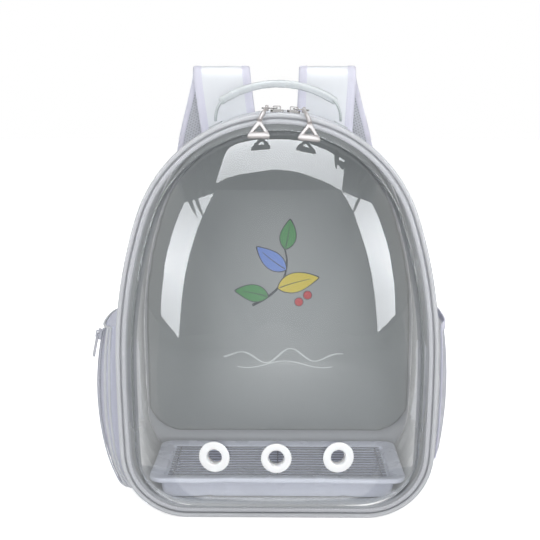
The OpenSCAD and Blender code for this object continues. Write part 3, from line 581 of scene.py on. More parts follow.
# %% [markdown]
# The dome is clear polycarbonate. Light that comes in for the bird must get through, but a path
# tracer at few samples finds refracted light badly, so shadow and diffuse rays take the dome as
# nearly open by its alpha, while the camera sees real refraction and gloss.

# %% Clear shell
CLEAR_TINT = tint(247, 249, 249)
CLEAR, tree, sockets = material("clear shell", CLEAR_TINT, 0.012, Transmission_Weight=1.0, IOR=1.46)
rays = put(tree, "ShaderNodeLightPath").outputs
unseen = calc(tree, "MAXIMUM", rays["Is Shadow Ray"], rays["Is Diffuse Ray"])
tree.links.new(calc(tree, "MULTIPLY_ADD", unseen, -0.94, 1.0), sockets["Alpha"])
# a slanting ray has more plastic to pass, so the shell darkens toward its outline
slant = calc(tree, "POWER", put(tree, "ShaderNodeLayerWeight", Blend=0.5).outputs["Facing"], 4)
tree.links.new(toned(tree, CLEAR_TINT, slant, 1.0, 0.3), sockets["Base Color"])
wave = put(tree, "ShaderNodeTexNoise", Vector=place_of(tree), Scale=9.0, Detail=1.0).outputs["Fac"]
bump(tree, sockets, wave, 0.0006, 0.15)
print(CLEAR.name, "has", len(tree.nodes), "nodes")


# %% Finishing a piece
def finish_with(piece, mat, body, *replaced, slot=None):
    """Gives a piece its material and its body, and hides the CAD nodes that it stands for."""
    piece.data.materials.clear()
    piece.data.materials.append(mat)
    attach(piece, body)
    if replaced:
        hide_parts(*replaced)
    print(f"{piece.name}: {len(piece.data.polygons)} faces in {mat.name}, on the {body}")
    return piece


def sew(name, lines, *sizes, body="carrier", closed=False):
    """A row of stitches along each line, sized as in row_of."""
    return finish_with(row_of(name, lines, THREAD, *sizes, closed=closed), THREAD, body)


for mat, kept in {PLATED: ("slider_left", "slider_right"), PAINTED: ("left_pocket_slider", "left_pocket_pull"),
                  BUCKLE: ("ladder_lock_left", "ladder_lock_right")}.items():
    for name in kept:
        nodes[name].data.materials.clear()
        nodes[name].data.materials.append(mat)
        print(name, "keeps its CAD shape, in", mat.name)

# %% [markdown]
# ## The dome
# A dome of this kind is drawn over a form from one clear sheet, so it has an even wall and soft
# changes of direction. The CAD shell has few facets. This one is the same form with many more
# rings, a small fillet where it meets its flange, and three holes for the vents.

# %% Dome form
DOME_Z, DOME_D, DOME_T, FRONT_Y = 110.0, 82.0, 1.6, -88.0
FOOT, FILLET = 17.5, 2.4                      # inset of the shell's foot, and the fillet at it
ROUND_UP, ROUND_ACROSS, ROUND_DOWN = 2.4, 3.0, 3.6


def dome_ring(e, y, f):
    """Points of the shell at the share f of the way from its foot (0) to its furthest point (1)."""
    way = inset(e) - [0, DOME_Z]
    lean = unit(way)[:, 1]
    power = ROUND_ACROSS + (np.where(lean > 0, ROUND_UP, ROUND_DOWN) - ROUND_ACROSS) * lean ** 2
    return upright([0, DOME_Z] + (1 - f ** 1.6) ** (1 / power[:, None]) * way, y - DOME_D * f)


def dome_skin(e, y):
    """One face of the shell: its flange, the fillet, and the dome up to a last small ring."""
    rows = [upright(inset(flange), y) for flange in (6.4, 9, 12, 14.5)]
    for a in np.linspace(0, 1, 6)[:-1]:
        rows.append(upright(inset(e - FILLET * (1 - a) ** 1.5), y - FILLET * 0.55 * a ** 2))
    share = np.r_[np.sin(np.linspace(0, math.pi / 2, 46))[:-1] ** 1.35, 0.9994]
    return rows + [r for r in (dome_ring(e, y, f) for f in share) if r[0, 1] < y - FILLET * 0.75]


def closed_shell(name, outer, inner):
    """Two skins, joined at their first rings and each closed at its last by a flat cap."""
    work = bmesh.new()
    made = [[work.verts.new(p * MM) for p in ring] for ring in outer + inner[::-1]]
    for i, (here, there) in enumerate(zip(made, made[1:] + made[:1])):
        if i == len(outer) - 1:
            work.faces.new(here)
            work.faces.new(there)
            continue
        for k in range(RIM_N):
            l = (k + 1) % RIM_N
            work.faces.new((here[k], here[l], there[l], there[k]))
    mesh = mesh_of(name, work)
    sharpen(mesh, 50)
    return object_from(name, mesh)


dome = closed_shell("dome_shell", dome_skin(FOOT, FRONT_Y), dome_skin(FOOT + DOME_T, FRONT_Y + DOME_T))
print("dome faces:", len(dome.data.polygons))

# %% Vent holes, square to the shell
spots = np.array([v.co for v in nodes["vent_rings"].data.vertices]) * 1000
VENT_X, VENT_REACH, HOLE_R = (-58.8, 0, 58.8), 18, 9.1
vents = []
for x in VENT_X:
    near = spots[abs(spots[:, 0] - x) < VENT_REACH]
    centre = (near.max(axis=0) + near.min(axis=0)) / 2
    way = np.linalg.svd(near - near.mean(axis=0))[2][2]
    vents.append((centre, unit(way if way[1] < 0 else -way), near))
print("vents at", [np.round(centre).tolist() for centre, _, _ in vents])


def cut(piece, cutters):
    """Takes the cutters' volume out of a piece and keeps a plain mesh."""
    for cutter in cutters:
        work = piece.modifiers.new("cut", "BOOLEAN")
        work.operation, work.solver, work.object = "DIFFERENCE", "EXACT", cutter
    piece.data = plain(piece)
    piece.modifiers.clear()
    for cutter in cutters:
        bpy.data.objects.remove(cutter)


def plug(centre, way, r, length):
    """A round cutter about a way through a centre."""
    work = bmesh.new()
    turned = Vector(way).to_track_quat("Z", "Y").to_matrix().to_4x4()
    bmesh.ops.create_cone(work, cap_ends=True, segments=64, radius1=r * MM, radius2=r * MM, depth=length * MM,
                          matrix=Matrix.Translation(Vector(centre) * MM) @ turned)
    return object_from("plug", mesh_of("plug", work))


cut(dome, [plug(centre, way, HOLE_R, 30) for centre, way, _ in vents])
sharpen(dome.data, 50)
finish_with(dome, CLEAR, "door", "dome", slot="clear_shell")

# %% [markdown]
# Each vent ring is turned: its rubber lip lies on the shell and its neck goes through the hole.
# The section is drawn once, with round lips, and spun about the vent's own axis.

# %% Vent rings
def spin(centre, way, section):
    """Turns a closed section of [radius, height] about a way through a centre."""
    side = unit(np.cross(way, (0, 0, 1)))
    rise = np.cross(way, side)
    a = np.linspace(0, 2 * math.pi, 72, endpoint=False)
    rows = [[centre + r * (math.cos(t) * side + math.sin(t) * rise) + w * way for r, w in section] for t in a]
    return grid("turned", rows, wrap_rows=True, angle=70)


def vent_ring(centre, way, near):
    """The ring's section between the radii and heights that its CAD solid has."""
    w = (near - centre) @ way
    r = np.linalg.norm(near - centre - np.outer(w, way), axis=1)
    r0, r1, w0, w1 = r.min(), r.max(), w.min(), w.max()
    lip, rolled = np.radians(np.linspace(-60, 75, 8)), np.radians(np.linspace(15, 90, 6))
    section = [(r0 + 1.9, w0), (r0 + 1.95, w1 - 3), (r1 - 1.4, w1 - 2.9)]
    section += [(r1 - 1.4 + 1.4 * math.cos(t), w1 - 1.45 + 1.45 * math.sin(t)) for t in lip] + [(r0 + 3.2, w1)]
    section += [(r0 + 2.0 - 1.6 * math.sin(t), w1 - 1.5 + 1.5 * math.cos(t)) for t in rolled]
    return spin(centre, way, section + [(r0, w1 - 2.6), (r0, w0 + 0.3), (r0 + 0.4, w0)])


def join(name, parts):
    """Several meshes as one piece."""
    work = bmesh.new()
    for part in parts:
        work.from_mesh(part.data)
    mesh = mesh_of(name, work)
    for part in parts:
        bpy.data.objects.remove(part)
    return object_from(name, mesh)


rings = join("vent_ring_rubber", [vent_ring(*vent) for vent in vents])
finish_with(rings, RUBBER, "door", "vent_rings", slot="white_rubber")

# %% [markdown]
# ## The door's soft frame
# The frame is cloth over a stiff board: a rolled piping outside, a groove that the stitching
# pulls in, then a low padded band that grips the dome's flange. Each is one closed section,
# swept round the outline, with a slow wander in its height as sewn work has.

# %% Frame, piping and binding
PIPING_R = 2.45


def roll(e, y, n):
    """Section of a piping: a circle of n points about the inset e and the depth y."""
    return [(e + PIPING_R * math.cos(t), y + PIPING_R * math.sin(t)) for t in np.radians(np.linspace(0, 345, n))]


frame_section = [(0.2, -79.2), (0.1, -82), (0.5, -84.6), (2.0, -85.3), (4.4, -85.4), (5.4, -86.1), (8.2, -86.3),
                 (10.8, -86.1), (11.3, -84.5), (11.4, -81), (11.2, -79.2), (6, -79.1)]
door_frame = along_rim("door_frame_cloth", frame_section, 70, 0.12)
finish_with(door_frame, FRAME, "door", "door_frame", slot="body_fabric")
piping = along_rim("door_piping_roll", roll(2.65, -88.0, 18), 80, 0.14, 22)
finish_with(piping, PIPING, "door", "door_piping", slot="piping")
band = [(11.1, -88.3), (6.35, -88.3), (6.35, -88.6), (6.45, -89.6), (7.2, -90.45), (8.7, -90.75), (10.2, -90.5),
        (11.0, -89.7), (11.1, -88.6)]
binding = along_rim("door_binding_band", band, 70, 0.12, 26, 5)
finish_with(binding, ROLL, "door", "door_binding", slot="piping")
sew("door_binding_stitches", [upright(inset(10.45), -90.42)], 3.4, 2.2, 0.55, 0.5, body="door", closed=True)

# %% [markdown]
# ## Side wall
# The wall is coated cloth over foam, sewn at both edges, so it pulls in there and stands fuller
# between. Its lining is looser than its outside and creases, most of all in the lower corners.
# It is one closed band, swept round the outline, and the two windows are cut through it.

# %% Padded side wall with its windows
WALL, WALL_Y0, WALL_Y1 = 4.0, -74.7, 83.7
WINDOW_Y, WINDOW_Z, WINDOW_D, WINDOW_H = -0.5, 120.0, 84.0, 92.0
FLOOR_Z, DOWN_THE_WALL = 11, (0.45, 1.5, 0.45)  # the creases run down the wall and end above the floor


def crease(p, size, seed=0.0, stretch=(1, 0.45, 0.8)):
    """Creases: ridges of a slow noise, 0 to 1; stretch sets which way they run."""
    v = noise.noise(Vector((p[0] / size * stretch[0], p[1] / size * stretch[1], p[2] / size * stretch[2] + seed)))
    return (1 - abs(v) * 2.2) ** 3 if abs(v) < 0.45 else 0.0


def side_wall():
    ys = np.r_[WALL_Y0, WALL_Y0 + 1.5, np.linspace(WALL_Y0 + 5, WALL_Y1 - 5, 34), WALL_Y1 - 1.5, WALL_Y1]
    t = (ys - WALL_Y0) / (WALL_Y1 - WALL_Y0)
    outer, inner = [], []
    for y, full in zip(ys, np.sin(math.pi * t) ** 0.35):
        outer.append(upright(inset(0.9 * (1 - full)), y))
        p = inset(WALL - 0.2)
        corner = np.exp(-((p[:, 1] - 60) / 55) ** 2) * (p[:, 1] > FLOOR_Z) * (abs(p[:, 0]) > 96)
        folds = [crease((x, y, z), 34, 2, DOWN_THE_WALL) + 0.5 * crease((x, y, z), 17, 7, DOWN_THE_WALL) for x, z in p]
        loose = (0.9 + 5.5 * corner) * full * folds
        inner.append(upright(inset(WALL - 0.2 + np.where(p[:, 1] < FLOOR_Z, 0, loose)), y))
    return grid("side_wall", np.stack(outer + inner[::-1], axis=1), wrap_rows=True, angle=60)


def rounded_box(w, h, r, n=10):
    """Outline of a rounded rectangle, counter-clockwise, as [u, v]."""
    out = []
    for i, (sx, sy) in enumerate(((1, 1), (-1, 1), (-1, -1), (1, -1))):
        for a in np.radians(np.linspace(90 * i, 90 * i + 90, n)):
            out.append((sx * (w / 2 - r) + r * math.cos(a), sy * (h / 2 - r) + r * math.sin(a)))
    return np.array(out)


wall = side_wall()
hole = rounded_box(WINDOW_D, WINDOW_H, 18)
cut(wall, [grid("prism", [[(x, WINDOW_Y + u, WINDOW_Z + v) for u, v in hole] for x in (side * 130, side * 190)])
           for side in (-1, 1)])
sharpen(wall.data, 55)
finish_with(wall, BODY, "carrier", "gusset_band", slot="body_fabric")
wall.data.materials.append(LINING)
for face in wall.data.polygons:
    c = np.array(face.center) * 1000
    middle = np.array([0, c[1], max(70, min(c[2], 270))])
    face.material_index = int(np.array(face.normal) @ unit(middle - c) > 0.25)
print("of its faces,", sum(face.material_index for face in wall.data.polygons), "are lining")

# %% [markdown]
# Flat cloth pieces, such as the window's net and the shapes of the print, are cut from an
# outline: a fine triangle mesh inside it, lifted onto whatever it lies on.

# %% Cut a sheet from an outline
from mathutils.geometry import delaunay_2d_cdt


def cut_sheet(name, outline, lift, step=4.0):
    """Triangles inside an outline of [u, v] in millimetres; lift turns (u, v) into [x, y, z]."""
    outline = np.asarray(outline, float)
    (u0, v0), (u1, v1) = outline.T, np.roll(outline, -1, axis=0).T
    du, dv = u1 - u0, v1 - v0
    inner = []
    for u in np.arange(u0.min() + step / 2, u0.max(), step):
        for v in np.arange(v0.min() + step / 2, v0.max(), step):
            t = np.clip(((u - u0) * du + (v - v0) * dv) / (du ** 2 + dv ** 2).clip(1e-9), 0, 1)
            near = np.hypot(u0 + t * du - u, v0 + t * dv - v).min()
            crossed = ((v0 > v) != (v1 > v)) & (u < u0 + (v - v0) * du / np.where(dv == 0, 1e-9, dv))
            if crossed.sum() % 2 and near > step * 0.35:
                inner.append((u, v))
    spots, edge = [Vector(p) for p in [*outline, *inner]], list(range(len(outline)))
    made, _, faces, *_ = delaunay_2d_cdt(spots, [], [edge], 1, 1e-6)
    mesh = bpy.data.meshes.new(name)
    mesh.from_pydata([Vector(lift(*v)) * MM for v in made], [], faces)
    give_uv(mesh, [tuple(made[i]) for face in faces for i in face])
    mesh.shade_smooth()
    return object_from(name, mesh)


def area_of(outline):
    x, y = np.asarray(outline, float).T
    return abs(x @ np.roll(y, -1) - y @ np.roll(x, -1)) / 2


net_line = rounded_box(WINDOW_D - 0.6, WINDOW_H - 0.6, 17.8)
trim_line = rounded_box(WINDOW_D + 5, WINDOW_H + 5, 20)
print("net of a window:", round(area_of(net_line)), "square mm")

# %% The windows' nets, trims and stitches
for side, name in ((-1, "mesh_window_left"), (1, "mesh_window_right")):
    def on_window(u, v, rise=0.15):
        return side * (side_x(WINDOW_Z + v) + rise), WINDOW_Y + u, WINDOW_Z + v

    net = cut_sheet(name + "_net", net_line[::-side],
                    lambda u, v: on_window(u, v, -2 + 0.5 * math.cos(u / 27) * math.cos(v / 30)))
    finish_with(net, NET_CLOTH, "carrier", name, slot="mesh")
    edge = even_way([on_window(u, v) for u, v in trim_line], 4, closed=True)
    trim = tube(name + "_trim", edge, 2.9, closed=True, flat=0.3, up=(1, 0, 0))
    finish_with(trim, BINDING, "carrier")
    sew(name + "_stitches", [edge + [side * 0.95, 0, 0]], 3.2, 2.1, 0.5, 0.4, closed=True)

# %% [markdown]
# ## Back board, floor and piping
# Behind, a stiff board is wrapped in the body's cloth. Below, another lies in the lining. Both
# are plates with soft edges. The piping is a cord rolled in a strip of cloth.

# %% Back, floor and rear piping
def toward(ring, middle, f):
    return middle + (ring - middle) * f


def back_plate(e=5.4, front=84.3, back=88.0, middle=(0, 215)):
    """A closed upright plate with a soft edge, filled from its edge to its middle on both faces."""
    def ring(f, y):
        return upright(toward(inset(e + 1.2 * (f == 1)), np.array(middle), f), y)

    shares = np.linspace(0.03, 1, 10)
    rows = [ring(f, front) for f in shares] + [upright(inset(e), y) for y in (front + 1.1, back - 1.1)]
    return grid("back_panel", rows + [ring(f, back + 0.25 * (1 - f ** 2)) for f in shares[::-1]], angle=60)


def floor_pad(front=-74.6, back=83.4):
    """Slabs across the body, flat above but for a little slack, round below as the outline is."""
    rows = []
    low = np.array(sorted(p.tolist() for p in inset(4.6) if p[1] < 7.4))[::3]
    for y in np.r_[front, -73, np.linspace(-68, 77, 20), 82, back]:
        inner = 0.8 if y in (front, back) else 0
        top = [(x, y, 8.3 - inner - 0.15 * abs(math.sin(x / 19)))
               for x in np.linspace(low[-1][0] - 1, low[0][0] + 1, 24)]
        rows.append([(x, y, z + inner * 0.5) for x, z in low] + top)
    return grid("floor_pad", rows, angle=60)


finish_with(back_plate(), BODY, "carrier", "back_board", slot="board")
rear_piping = along_rim("rear_piping_roll", roll(2.6, 86.6, 16), 80, 0.16, 24, 9)
finish_with(rear_piping, PIPING, "carrier", "rear_piping", slot="piping")
finish_with(floor_pad(), LINING, "carrier", "floor_board", slot="lining")

# %% [markdown]
# ## The padded panel inside the back
# A sheet of foam between two cloths: almost flat, with a full, rounded edge. Cloth simulation
# with a little air pressure gives it the slack and fullness of real upholstery; how far a point
# may move is capped, so it stays a flat panel.

# %% Padding by simulation
def puff(piece, cap, voxel, frames=20):
    """Lets a closed form swell as cloth, caps the movement in millimetres and keeps the mesh."""
    remesh = piece.modifiers.new("remesh", "REMESH")
    remesh.mode, remesh.voxel_size = "VOXEL", voxel * MM
    piece.data = plain(piece)
    piece.modifiers.clear()
    rest = np.array([v.co for v in piece.data.vertices])
    skin = piece.modifiers.new("cloth", "CLOTH")
    skin.settings.use_pressure, skin.settings.uniform_pressure_force = True, 4.0
    skin.settings.effector_weights.gravity = 0
    skin.settings.quality = 4
    skin.point_cache.frame_end = frames
    for frame_number in range(1, frames + 1):
        bpy.context.scene.frame_set(frame_number)
    swollen = piece.evaluated_get(bpy.context.evaluated_depsgraph_get()).data
    shift = np.array([v.co for v in swollen.vertices]) - rest
    piece.modifiers.clear()
    far = np.linalg.norm(shift, axis=1, keepdims=True)
    shift *= np.minimum(1, cap * MM / np.maximum(far, 1e-9))
    piece.data.vertices.foreach_set("co", (rest + shift).astype(np.float32).ravel())
    bpy.context.scene.frame_set(1)
    print(piece.name, "moved at most", round(float(np.minimum(far, cap * MM).max()) * 1000, 1), "mm")
    finer = piece.modifiers.new("smooth", "SUBSURF")
    finer.levels = finer.render_levels = 1
    piece.data = plain(piece)
    piece.modifiers.clear()
    piece.data.shade_smooth()


print("simulated here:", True)

# %% The panel
LINING_E, LINING_Z, LINING_R = 6, 42.0, 46.0


def lining_ring(e):
    """Outline of the inner panel: the body's outline, cut off below with its own round corners."""
    p = inset(LINING_E + e)
    low, over = LINING_Z + e, np.maximum(0, abs(p[:, 0]) - (HALF_W - LINING_E - LINING_R))
    base = low + LINING_R - np.sqrt(np.maximum(0, LINING_R ** 2 - over ** 2))
    return np.c_[p[:, 0], np.maximum(p[:, 1], np.minimum(base, low + LINING_R))]


def lining_form():
    middle, shares = np.array([0, 225]), np.linspace(0.02, 0.96, 14)
    rows = [upright(toward(lining_ring(1.5), middle, f), 82.9) for f in shares]
    rows += [upright(lining_ring(e), y)
             for e, y in ((1.4, 82.7), (0.8, 81.5), (0.6, 79), (1.0, 76.6), (2.4, 74.8), (4.6, 74.1))]
    rows += [upright(toward(lining_ring(4.6), middle, f), 74.0) for f in shares[::-1]]
    return grid("lining_panel", rows, angle=80)


lining = lining_form()
puff(lining, 1.4, 5.0)
finish_with(lining, PANEL, "carrier", "back_lining_panel", slot="back_lining")

# %% [markdown]
# ## A plain print
# The panel carries a small print: a sprig of four leaves with two berries, above a loose wavy
# line. Each colour is a thin sheet laid on the cloth, as transfer foil is: the dark outline
# first, then the colour, then the vein.

# %% Shapes of the print
INK = {name: cloth("ink " + name, tint(*colour), "weave", 0.0008, 0.00003, 0.5, dark=0.93, light=1.04)
       for name, colour in {"dark": (38, 46, 52), "green": (62, 142, 74), "yellow": (214, 194, 44),
                            "blue": (104, 138, 214), "red": (190, 34, 40), "pale": (206, 211, 210)}.items()}


def across_of(line):
    """The direction across a line at each of its points."""
    return unit(np.c_[-np.gradient(line[:, 1]), np.gradient(line[:, 0])])


def turned(line, angle, root):
    a = math.radians(angle)
    return line @ np.array([[math.cos(a), math.sin(a)], [-math.sin(a), math.cos(a)]]) + root


def leaf(length, width, bend, grow=0.0):
    """Outline of a leaf that lies along u, with its tip bent to one side."""
    t = np.linspace(0, 1, 22)
    half = ((width / 2) * np.sin(math.pi * t ** 0.8) ** 0.9 + grow)[:, None]
    mid = np.c_[t * (length + 2 * grow) - grow, bend * t ** 2]
    line = np.vstack([mid + across_of(mid) * half, (mid - across_of(mid) * half)[::-1]])
    return line[np.r_[True, np.linalg.norm(np.diff(line, axis=0), axis=1) > 0.15]]


def ribbon(points, width):
    """Outline of a line of even width; width may vary along it."""
    p = np.asarray(points, float)
    half = across_of(p) * np.broadcast_to(width, len(p))[:, None] / 2
    return np.vstack([p + half, (p - half)[::-1]])


def lay(name, outline, ink, rise, step=4.0):
    """Cuts a shape and lays it on the lining, a little above the cloth."""
    def lift(u, v):
        hit, spot, _, _ = lining.ray_cast(Vector((u, 20, v)) * MM, Vector((0, 1, 0)))
        return u, (spot.y * 1000 if hit else 74) - rise, v

    finish_with(cut_sheet("print_" + name, outline, lift, step), INK[ink], "carrier")


print("inks:", list(INK))

# %% The sprig, its berries and the wavy lines
stem = spline([(-30, 196), (-12, 206), (4, 222), (10, 246), (6, 268)], 8)
lay("stem", ribbon(stem, np.linspace(3.4, 1.6, len(stem))), "dark", 0.2, 5)
leaves = [((-12, 206), 162, 38, 19, 5, "green"), ((0, 216), 22, 48, 22, -6, "yellow"),
          ((9, 238), 150, 42, 20, -6, "blue"), ((8, 262), 74, 34, 18, 4, "green")]
for i, (root, angle, length, width, bend, ink) in enumerate(leaves):
    lay(f"leaf_edge_{i}", turned(leaf(length, width, bend, 0.9), angle, root), "dark", 0.25)
    lay(f"leaf_{i}", turned(leaf(length, width, bend), angle, root), ink, 0.35)
    t = np.linspace(0.04, 0.8, 10)
    vein = turned(np.c_[t * length, bend * t ** 2], angle, root)
    lay(f"vein_{i}", ribbon(vein, np.linspace(1.1, 0.5, 10)), "dark", 0.45, 5)
circle = np.array([(math.cos(a), math.sin(a)) for a in np.linspace(0, 2 * math.pi, 20, endpoint=False)])
for i, berry in enumerate(((24, 200), (34, 208))):
    lay(f"berry_edge_{i}", circle * 5.4 + berry, "dark", 0.25)
    lay(f"berry_{i}", circle * 4.6 + berry, "red", 0.35)
x = np.linspace(-64, 76, 90)
wave = np.c_[x, 136 + 9 * np.sin(x / 9.5) * np.exp(-((x - 6) / 62) ** 2)]
lay("wave", ribbon(wave, 1.3 + 0.9 * np.cos(x / 9.5) ** 2), "pale", 0.3, 6)
x = x[10:-8]
lay("wave_low", ribbon(np.c_[x, 126 + 4 * np.sin(x / 14 + 1)], 1.1), "pale", 0.3, 6)

# %% [markdown]
# ## Zip
# Two woven tapes carry a row of teeth each. The teeth interlock, so one row is shifted by half
# a tooth. Below the ends of the zip, a strip of the body's cloth joins the door to the body.

# %% Tapes, teeth and the strip below
above = [i for i in range(RIM_N) if rim[i, 1] > 36]
below = [i % RIM_N for i in range(-above[0] - 1, above[0] + 2)]
for body, name, y0, y1, teeth_y, first in (("door", "door_zip_tape", -79.0, -77.2, -77.45, 1),
                                           ("carrier", "body_zip_tape", -76.8, -75.0, -76.55, 0)):
    section = [(0.7, y0), (0.6, (y0 + y1) / 2), (0.7, y1), (3.7, y1), (3.8, (y0 + y1) / 2), (3.7, y0)]
    tape = grid(name + "_woven", wander(sweep(section, above), 0.1, 15, y0), angle=60)
    finish_with(tape, TAPE, body, name, slot="zip_tape")
    line = even_way(upright(inset(0.45)[above], teeth_y), 1.2)[first:]
    finish_with(row_of(name + "_teeth", [line], TEETH, 2.4, 1.25, 1.1, 1.5), TEETH, body)

strip_section = [(0.9, -79.2), (0.75, -77), (0.9, -74.8), (1.9, -74.8), (1.75, -77), (1.9, -79.2)]
strip = grid("hinge_cloth", sweep(strip_section, below), angle=60)
strip.data.materials.append(BODY)
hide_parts("hinge_strip")
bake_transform(strip)

# %% [markdown]
# ## Tray and wire floor
# The tray is one vacuum-formed or moulded shell: thin, with round corners and a lip that turns
# down. It is lofted from rounded rectangles, with a small round at each turn of its profile.
# The wires are welded where they cross, and each weld leaves a small bead.

# %% Tray
def box_ring(w, d, r, n=9, straight=8, bow=0.0):
    """Rounded rectangle with points on its straights, which may bow inwards a little."""
    corners = rounded_box(w, d, max(r, 0.3), n).reshape(4, n, 2)
    out = []
    for corner, following in zip(corners, np.roll(corners, -1, axis=0)):
        out += list(corner)
        for t in np.linspace(0, 1, straight + 2)[1:-1]:
            p = corner[-1] + (following[0] - corner[-1]) * t
            end_wall = abs(p[0]) > abs(p[1]) * w / d
            out.append(p - unit(p * [end_wall, not end_wall]) * bow * math.sin(math.pi * t))
    return np.array(out)


def soften(profile, reach, n=4):
    """Rounds the turns of a profile: each corner becomes a short curve."""
    p = np.asarray(profile, float)
    out = [p[0]]
    for a, b, c in zip(p[:-2], p[1:-1], p[2:]):
        s, e = (b + (q - b) * min(0.45, reach / max(np.linalg.norm((q - b)[:2]), 1e-6)) for q in (a, c))
        out += [(1 - t) ** 2 * s + 2 * t * (1 - t) * b + t * t * e for t in np.linspace(0, 1, n)]
    return np.array(out + [p[-1]])


TRAY_Y, TRAY_W, TRAY_D = -2.5, 276, 140
# each ring of the shell: inset from the lip at the sides, the same in front, height, corner radius
tray_profile = [(60, 60, 8.8, 2), (24, 22, 8.8, 4), (15.2, 14, 8.8, 4), (14.0, 12.8, 9.4, 5), (12.4, 11.4, 29.2, 5),
                (10, 9.4, 30.4, 6), (10, 9.4, 32.6, 6), (2, 2, 32.6, 13), (2, 2, 30.6, 13), (0, 0, 30.6, 15),
                (0, 0, 34.6, 15), (1.4, 1.4, 35.8, 14), (5, 5, 35.8, 12), (16, 16, 34.3, 6), (17, 17, 31.2, 6),
                (21, 21, 31.2, 5), (24, 24, 10.8, 5), (30, 30, 10.8, 5), (60, 60, 10.8, 2)]
rows = []
for side_e, front_e, z, r in soften(tray_profile, 1.1):
    ring = box_ring(TRAY_W - 2 * side_e, TRAY_D - 2 * front_e, r, bow=0.5 if z < 30 and side_e > 12 else 0.25)
    rows.append(np.c_[ring + [0, TRAY_Y], np.full(len(ring), z)])
finish_with(grid("tray_shell", rows, angle=50), TRAY, "tray", "tray", slot="tray_plastic")

# %% Wire floor
WIRES, given, out = new_tree("wire along lines", "GeometryNodeTree", {"Line": "Geometry", "Thickness": 0.0014,
                                                                      "Sides": 10, "Finish": "Material"},
                             {"Mesh": "Geometry"})
section = put(WIRES, "GeometryNodeCurvePrimitiveCircle", Resolution=given["Sides"])
WIRES.links.new(calc(WIRES, "MULTIPLY", given["Thickness"], 0.5), section.inputs["Radius"])
wire = put(WIRES, "GeometryNodeCurveToMesh", s0=given["Line"], s1=section.outputs[0], Fill_Caps=True)
real = put(WIRES, "GeometryNodeRealizeInstances", s0=wire.outputs[0])
painted = put(WIRES, "GeometryNodeSetMaterial", Geometry=real.outputs[0], Material=given["Finish"])
WIRES.links.new(painted.outputs[0], out["Mesh"])

BARS, BAR_SPAN, BAR_X, CROSS_X = 12, 98.6, 118, (-113, 0, 113)
bar_lines = [[(-BAR_X, y, 33.62), (BAR_X, y, 33.62)] for y in TRAY_Y + np.linspace(-BAR_SPAN / 2, BAR_SPAN / 2, BARS)]
cross_lines = [[(x, TRAY_Y - 51.5, 32.2), (x, TRAY_Y + 51.5, 32.2)] for x in CROSS_X]
wires = through(WIRES, "grid_wires", bar_lines + cross_lines, {"Thickness": 0.0014, "Sides": 10, "Finish": WIRE})
sharpen(wires.data, 60)
finish_with(wires, WIRE, "grid", "grid_bars", "grid_cross_wires", slot="grid_wire")
bead_lines = [[(x, TRAY_Y + y, 32.9) for y in (-BAR_SPAN / 2, 0, BAR_SPAN / 2 + 0.02)] for x in CROSS_X]
beads = row_of("grid_welds", bead_lines, WIRE, BAR_SPAN / (BARS - 1), 2.1, 2.2, 1.3)
finish_with(beads, WIRE, "grid")

# %% [markdown]
# ## Pockets
# The left pocket is a full bag of body cloth: its zip runs down near the front edge, and the
# seams pull in beside it. The right one is net, gathered by an elastic hem. Both bulge from the
# side wall by the same rule as in the CAD model, and sit just off it.

# %% Pocket surfaces
POCKET_Y, POCKET_HALF, SEAT = -0.5, 62, 2.6


def fall(z):
    return 250 - math.sqrt(250 ** 2 - (z - 125) ** 2)


def swell(y):
    return math.sqrt(max(0.0, 1 - (abs(y - POCKET_Y) / POCKET_HALF) ** 3))


def left_x(y, z):
    return side_x(z) + SEAT + (HALF_W - side_x(z) + 28 - fall(z)) * swell(y)


def right_x(y, z):
    return side_x(z) + SEAT + (15 - fall(z) * 17 / 30) * swell(y)


def across_pocket(half, reach, n):
    """Places across a pocket, closer together toward its edges."""
    return POCKET_Y + half * np.sin(np.radians(np.linspace(-reach, reach, n)))


def pocket_bag(low=20.3, top=197.8):
    """The full form: drawn in at its seams, softly folded, and closed along the body."""
    rows, ys, ends = [], across_pocket(61.2, 90, 46), np.array([0, 0.4, 1.2, 2.6])
    for z in np.r_[low + ends, np.linspace(low + 5, top - 5, 44), top - ends[::-1]]:
        rounded = 1 - 0.16 * (1 - min(1, min(z - low, top - z) / 4)) ** 2
        base, row = side_x(z) + 0.9, []
        for y in ys:
            fold = 0.9 * crease((170, y * 0.6, z), 24, 3) + 0.5 * crease((y, 11, z), 15, 8)
            x = left_x(y, z)
            for seam, deep, wide in ((-53.5, 1.3, 2.4), (-37.5, 1.2, 2.6), (52, 1.4, 3)):
                x -= deep * math.exp(-((y - seam) / wide) ** 2)
            x -= fold * swell(y) + 0.5
            row.append((-(base + max(0.2, x - base) * rounded), y, z))
        rows.append(row + [(-(side_x(z) + 0.75), y, z) for y in ys[::-3]])
    return grid("left_pocket_bag", rows, angle=60)


bag = pocket_bag()
finish_with(bag, POCKET, "carrier", "left_pocket", slot="pocket_fabric")


# %% Welts and seams of the left pocket
def on_pocket(y, z, rise):
    return (-(left_x(y, z) + rise), y, z)


heights = np.linspace(22, 196, 60)
for i, (y, r) in enumerate(((-56.8, 1.7), (-60.3, 1.3), (55.5, 1.7))):
    welt = [on_pocket(y, z, -0.2 + 0.25 * math.sin(z / 13)) for z in heights]
    finish_with(tube(f"left_pocket_piping_{i}", welt, r), PIPING, "carrier")
for i, z in enumerate((195.6, 23.2)):
    welt = [on_pocket(y, z, -0.1) for y in across_pocket(60.5, 88, 60)]
    finish_with(tube(f"left_pocket_rim_{i}", welt, 1.5), PIPING, "carrier")
for i, y in enumerate((-50.2, -40.1)):
    sew(f"left_pocket_seam_{i}", [[on_pocket(y, z, 0.45) for z in heights]], 3.3, 2.2, 0.55, 0.5)

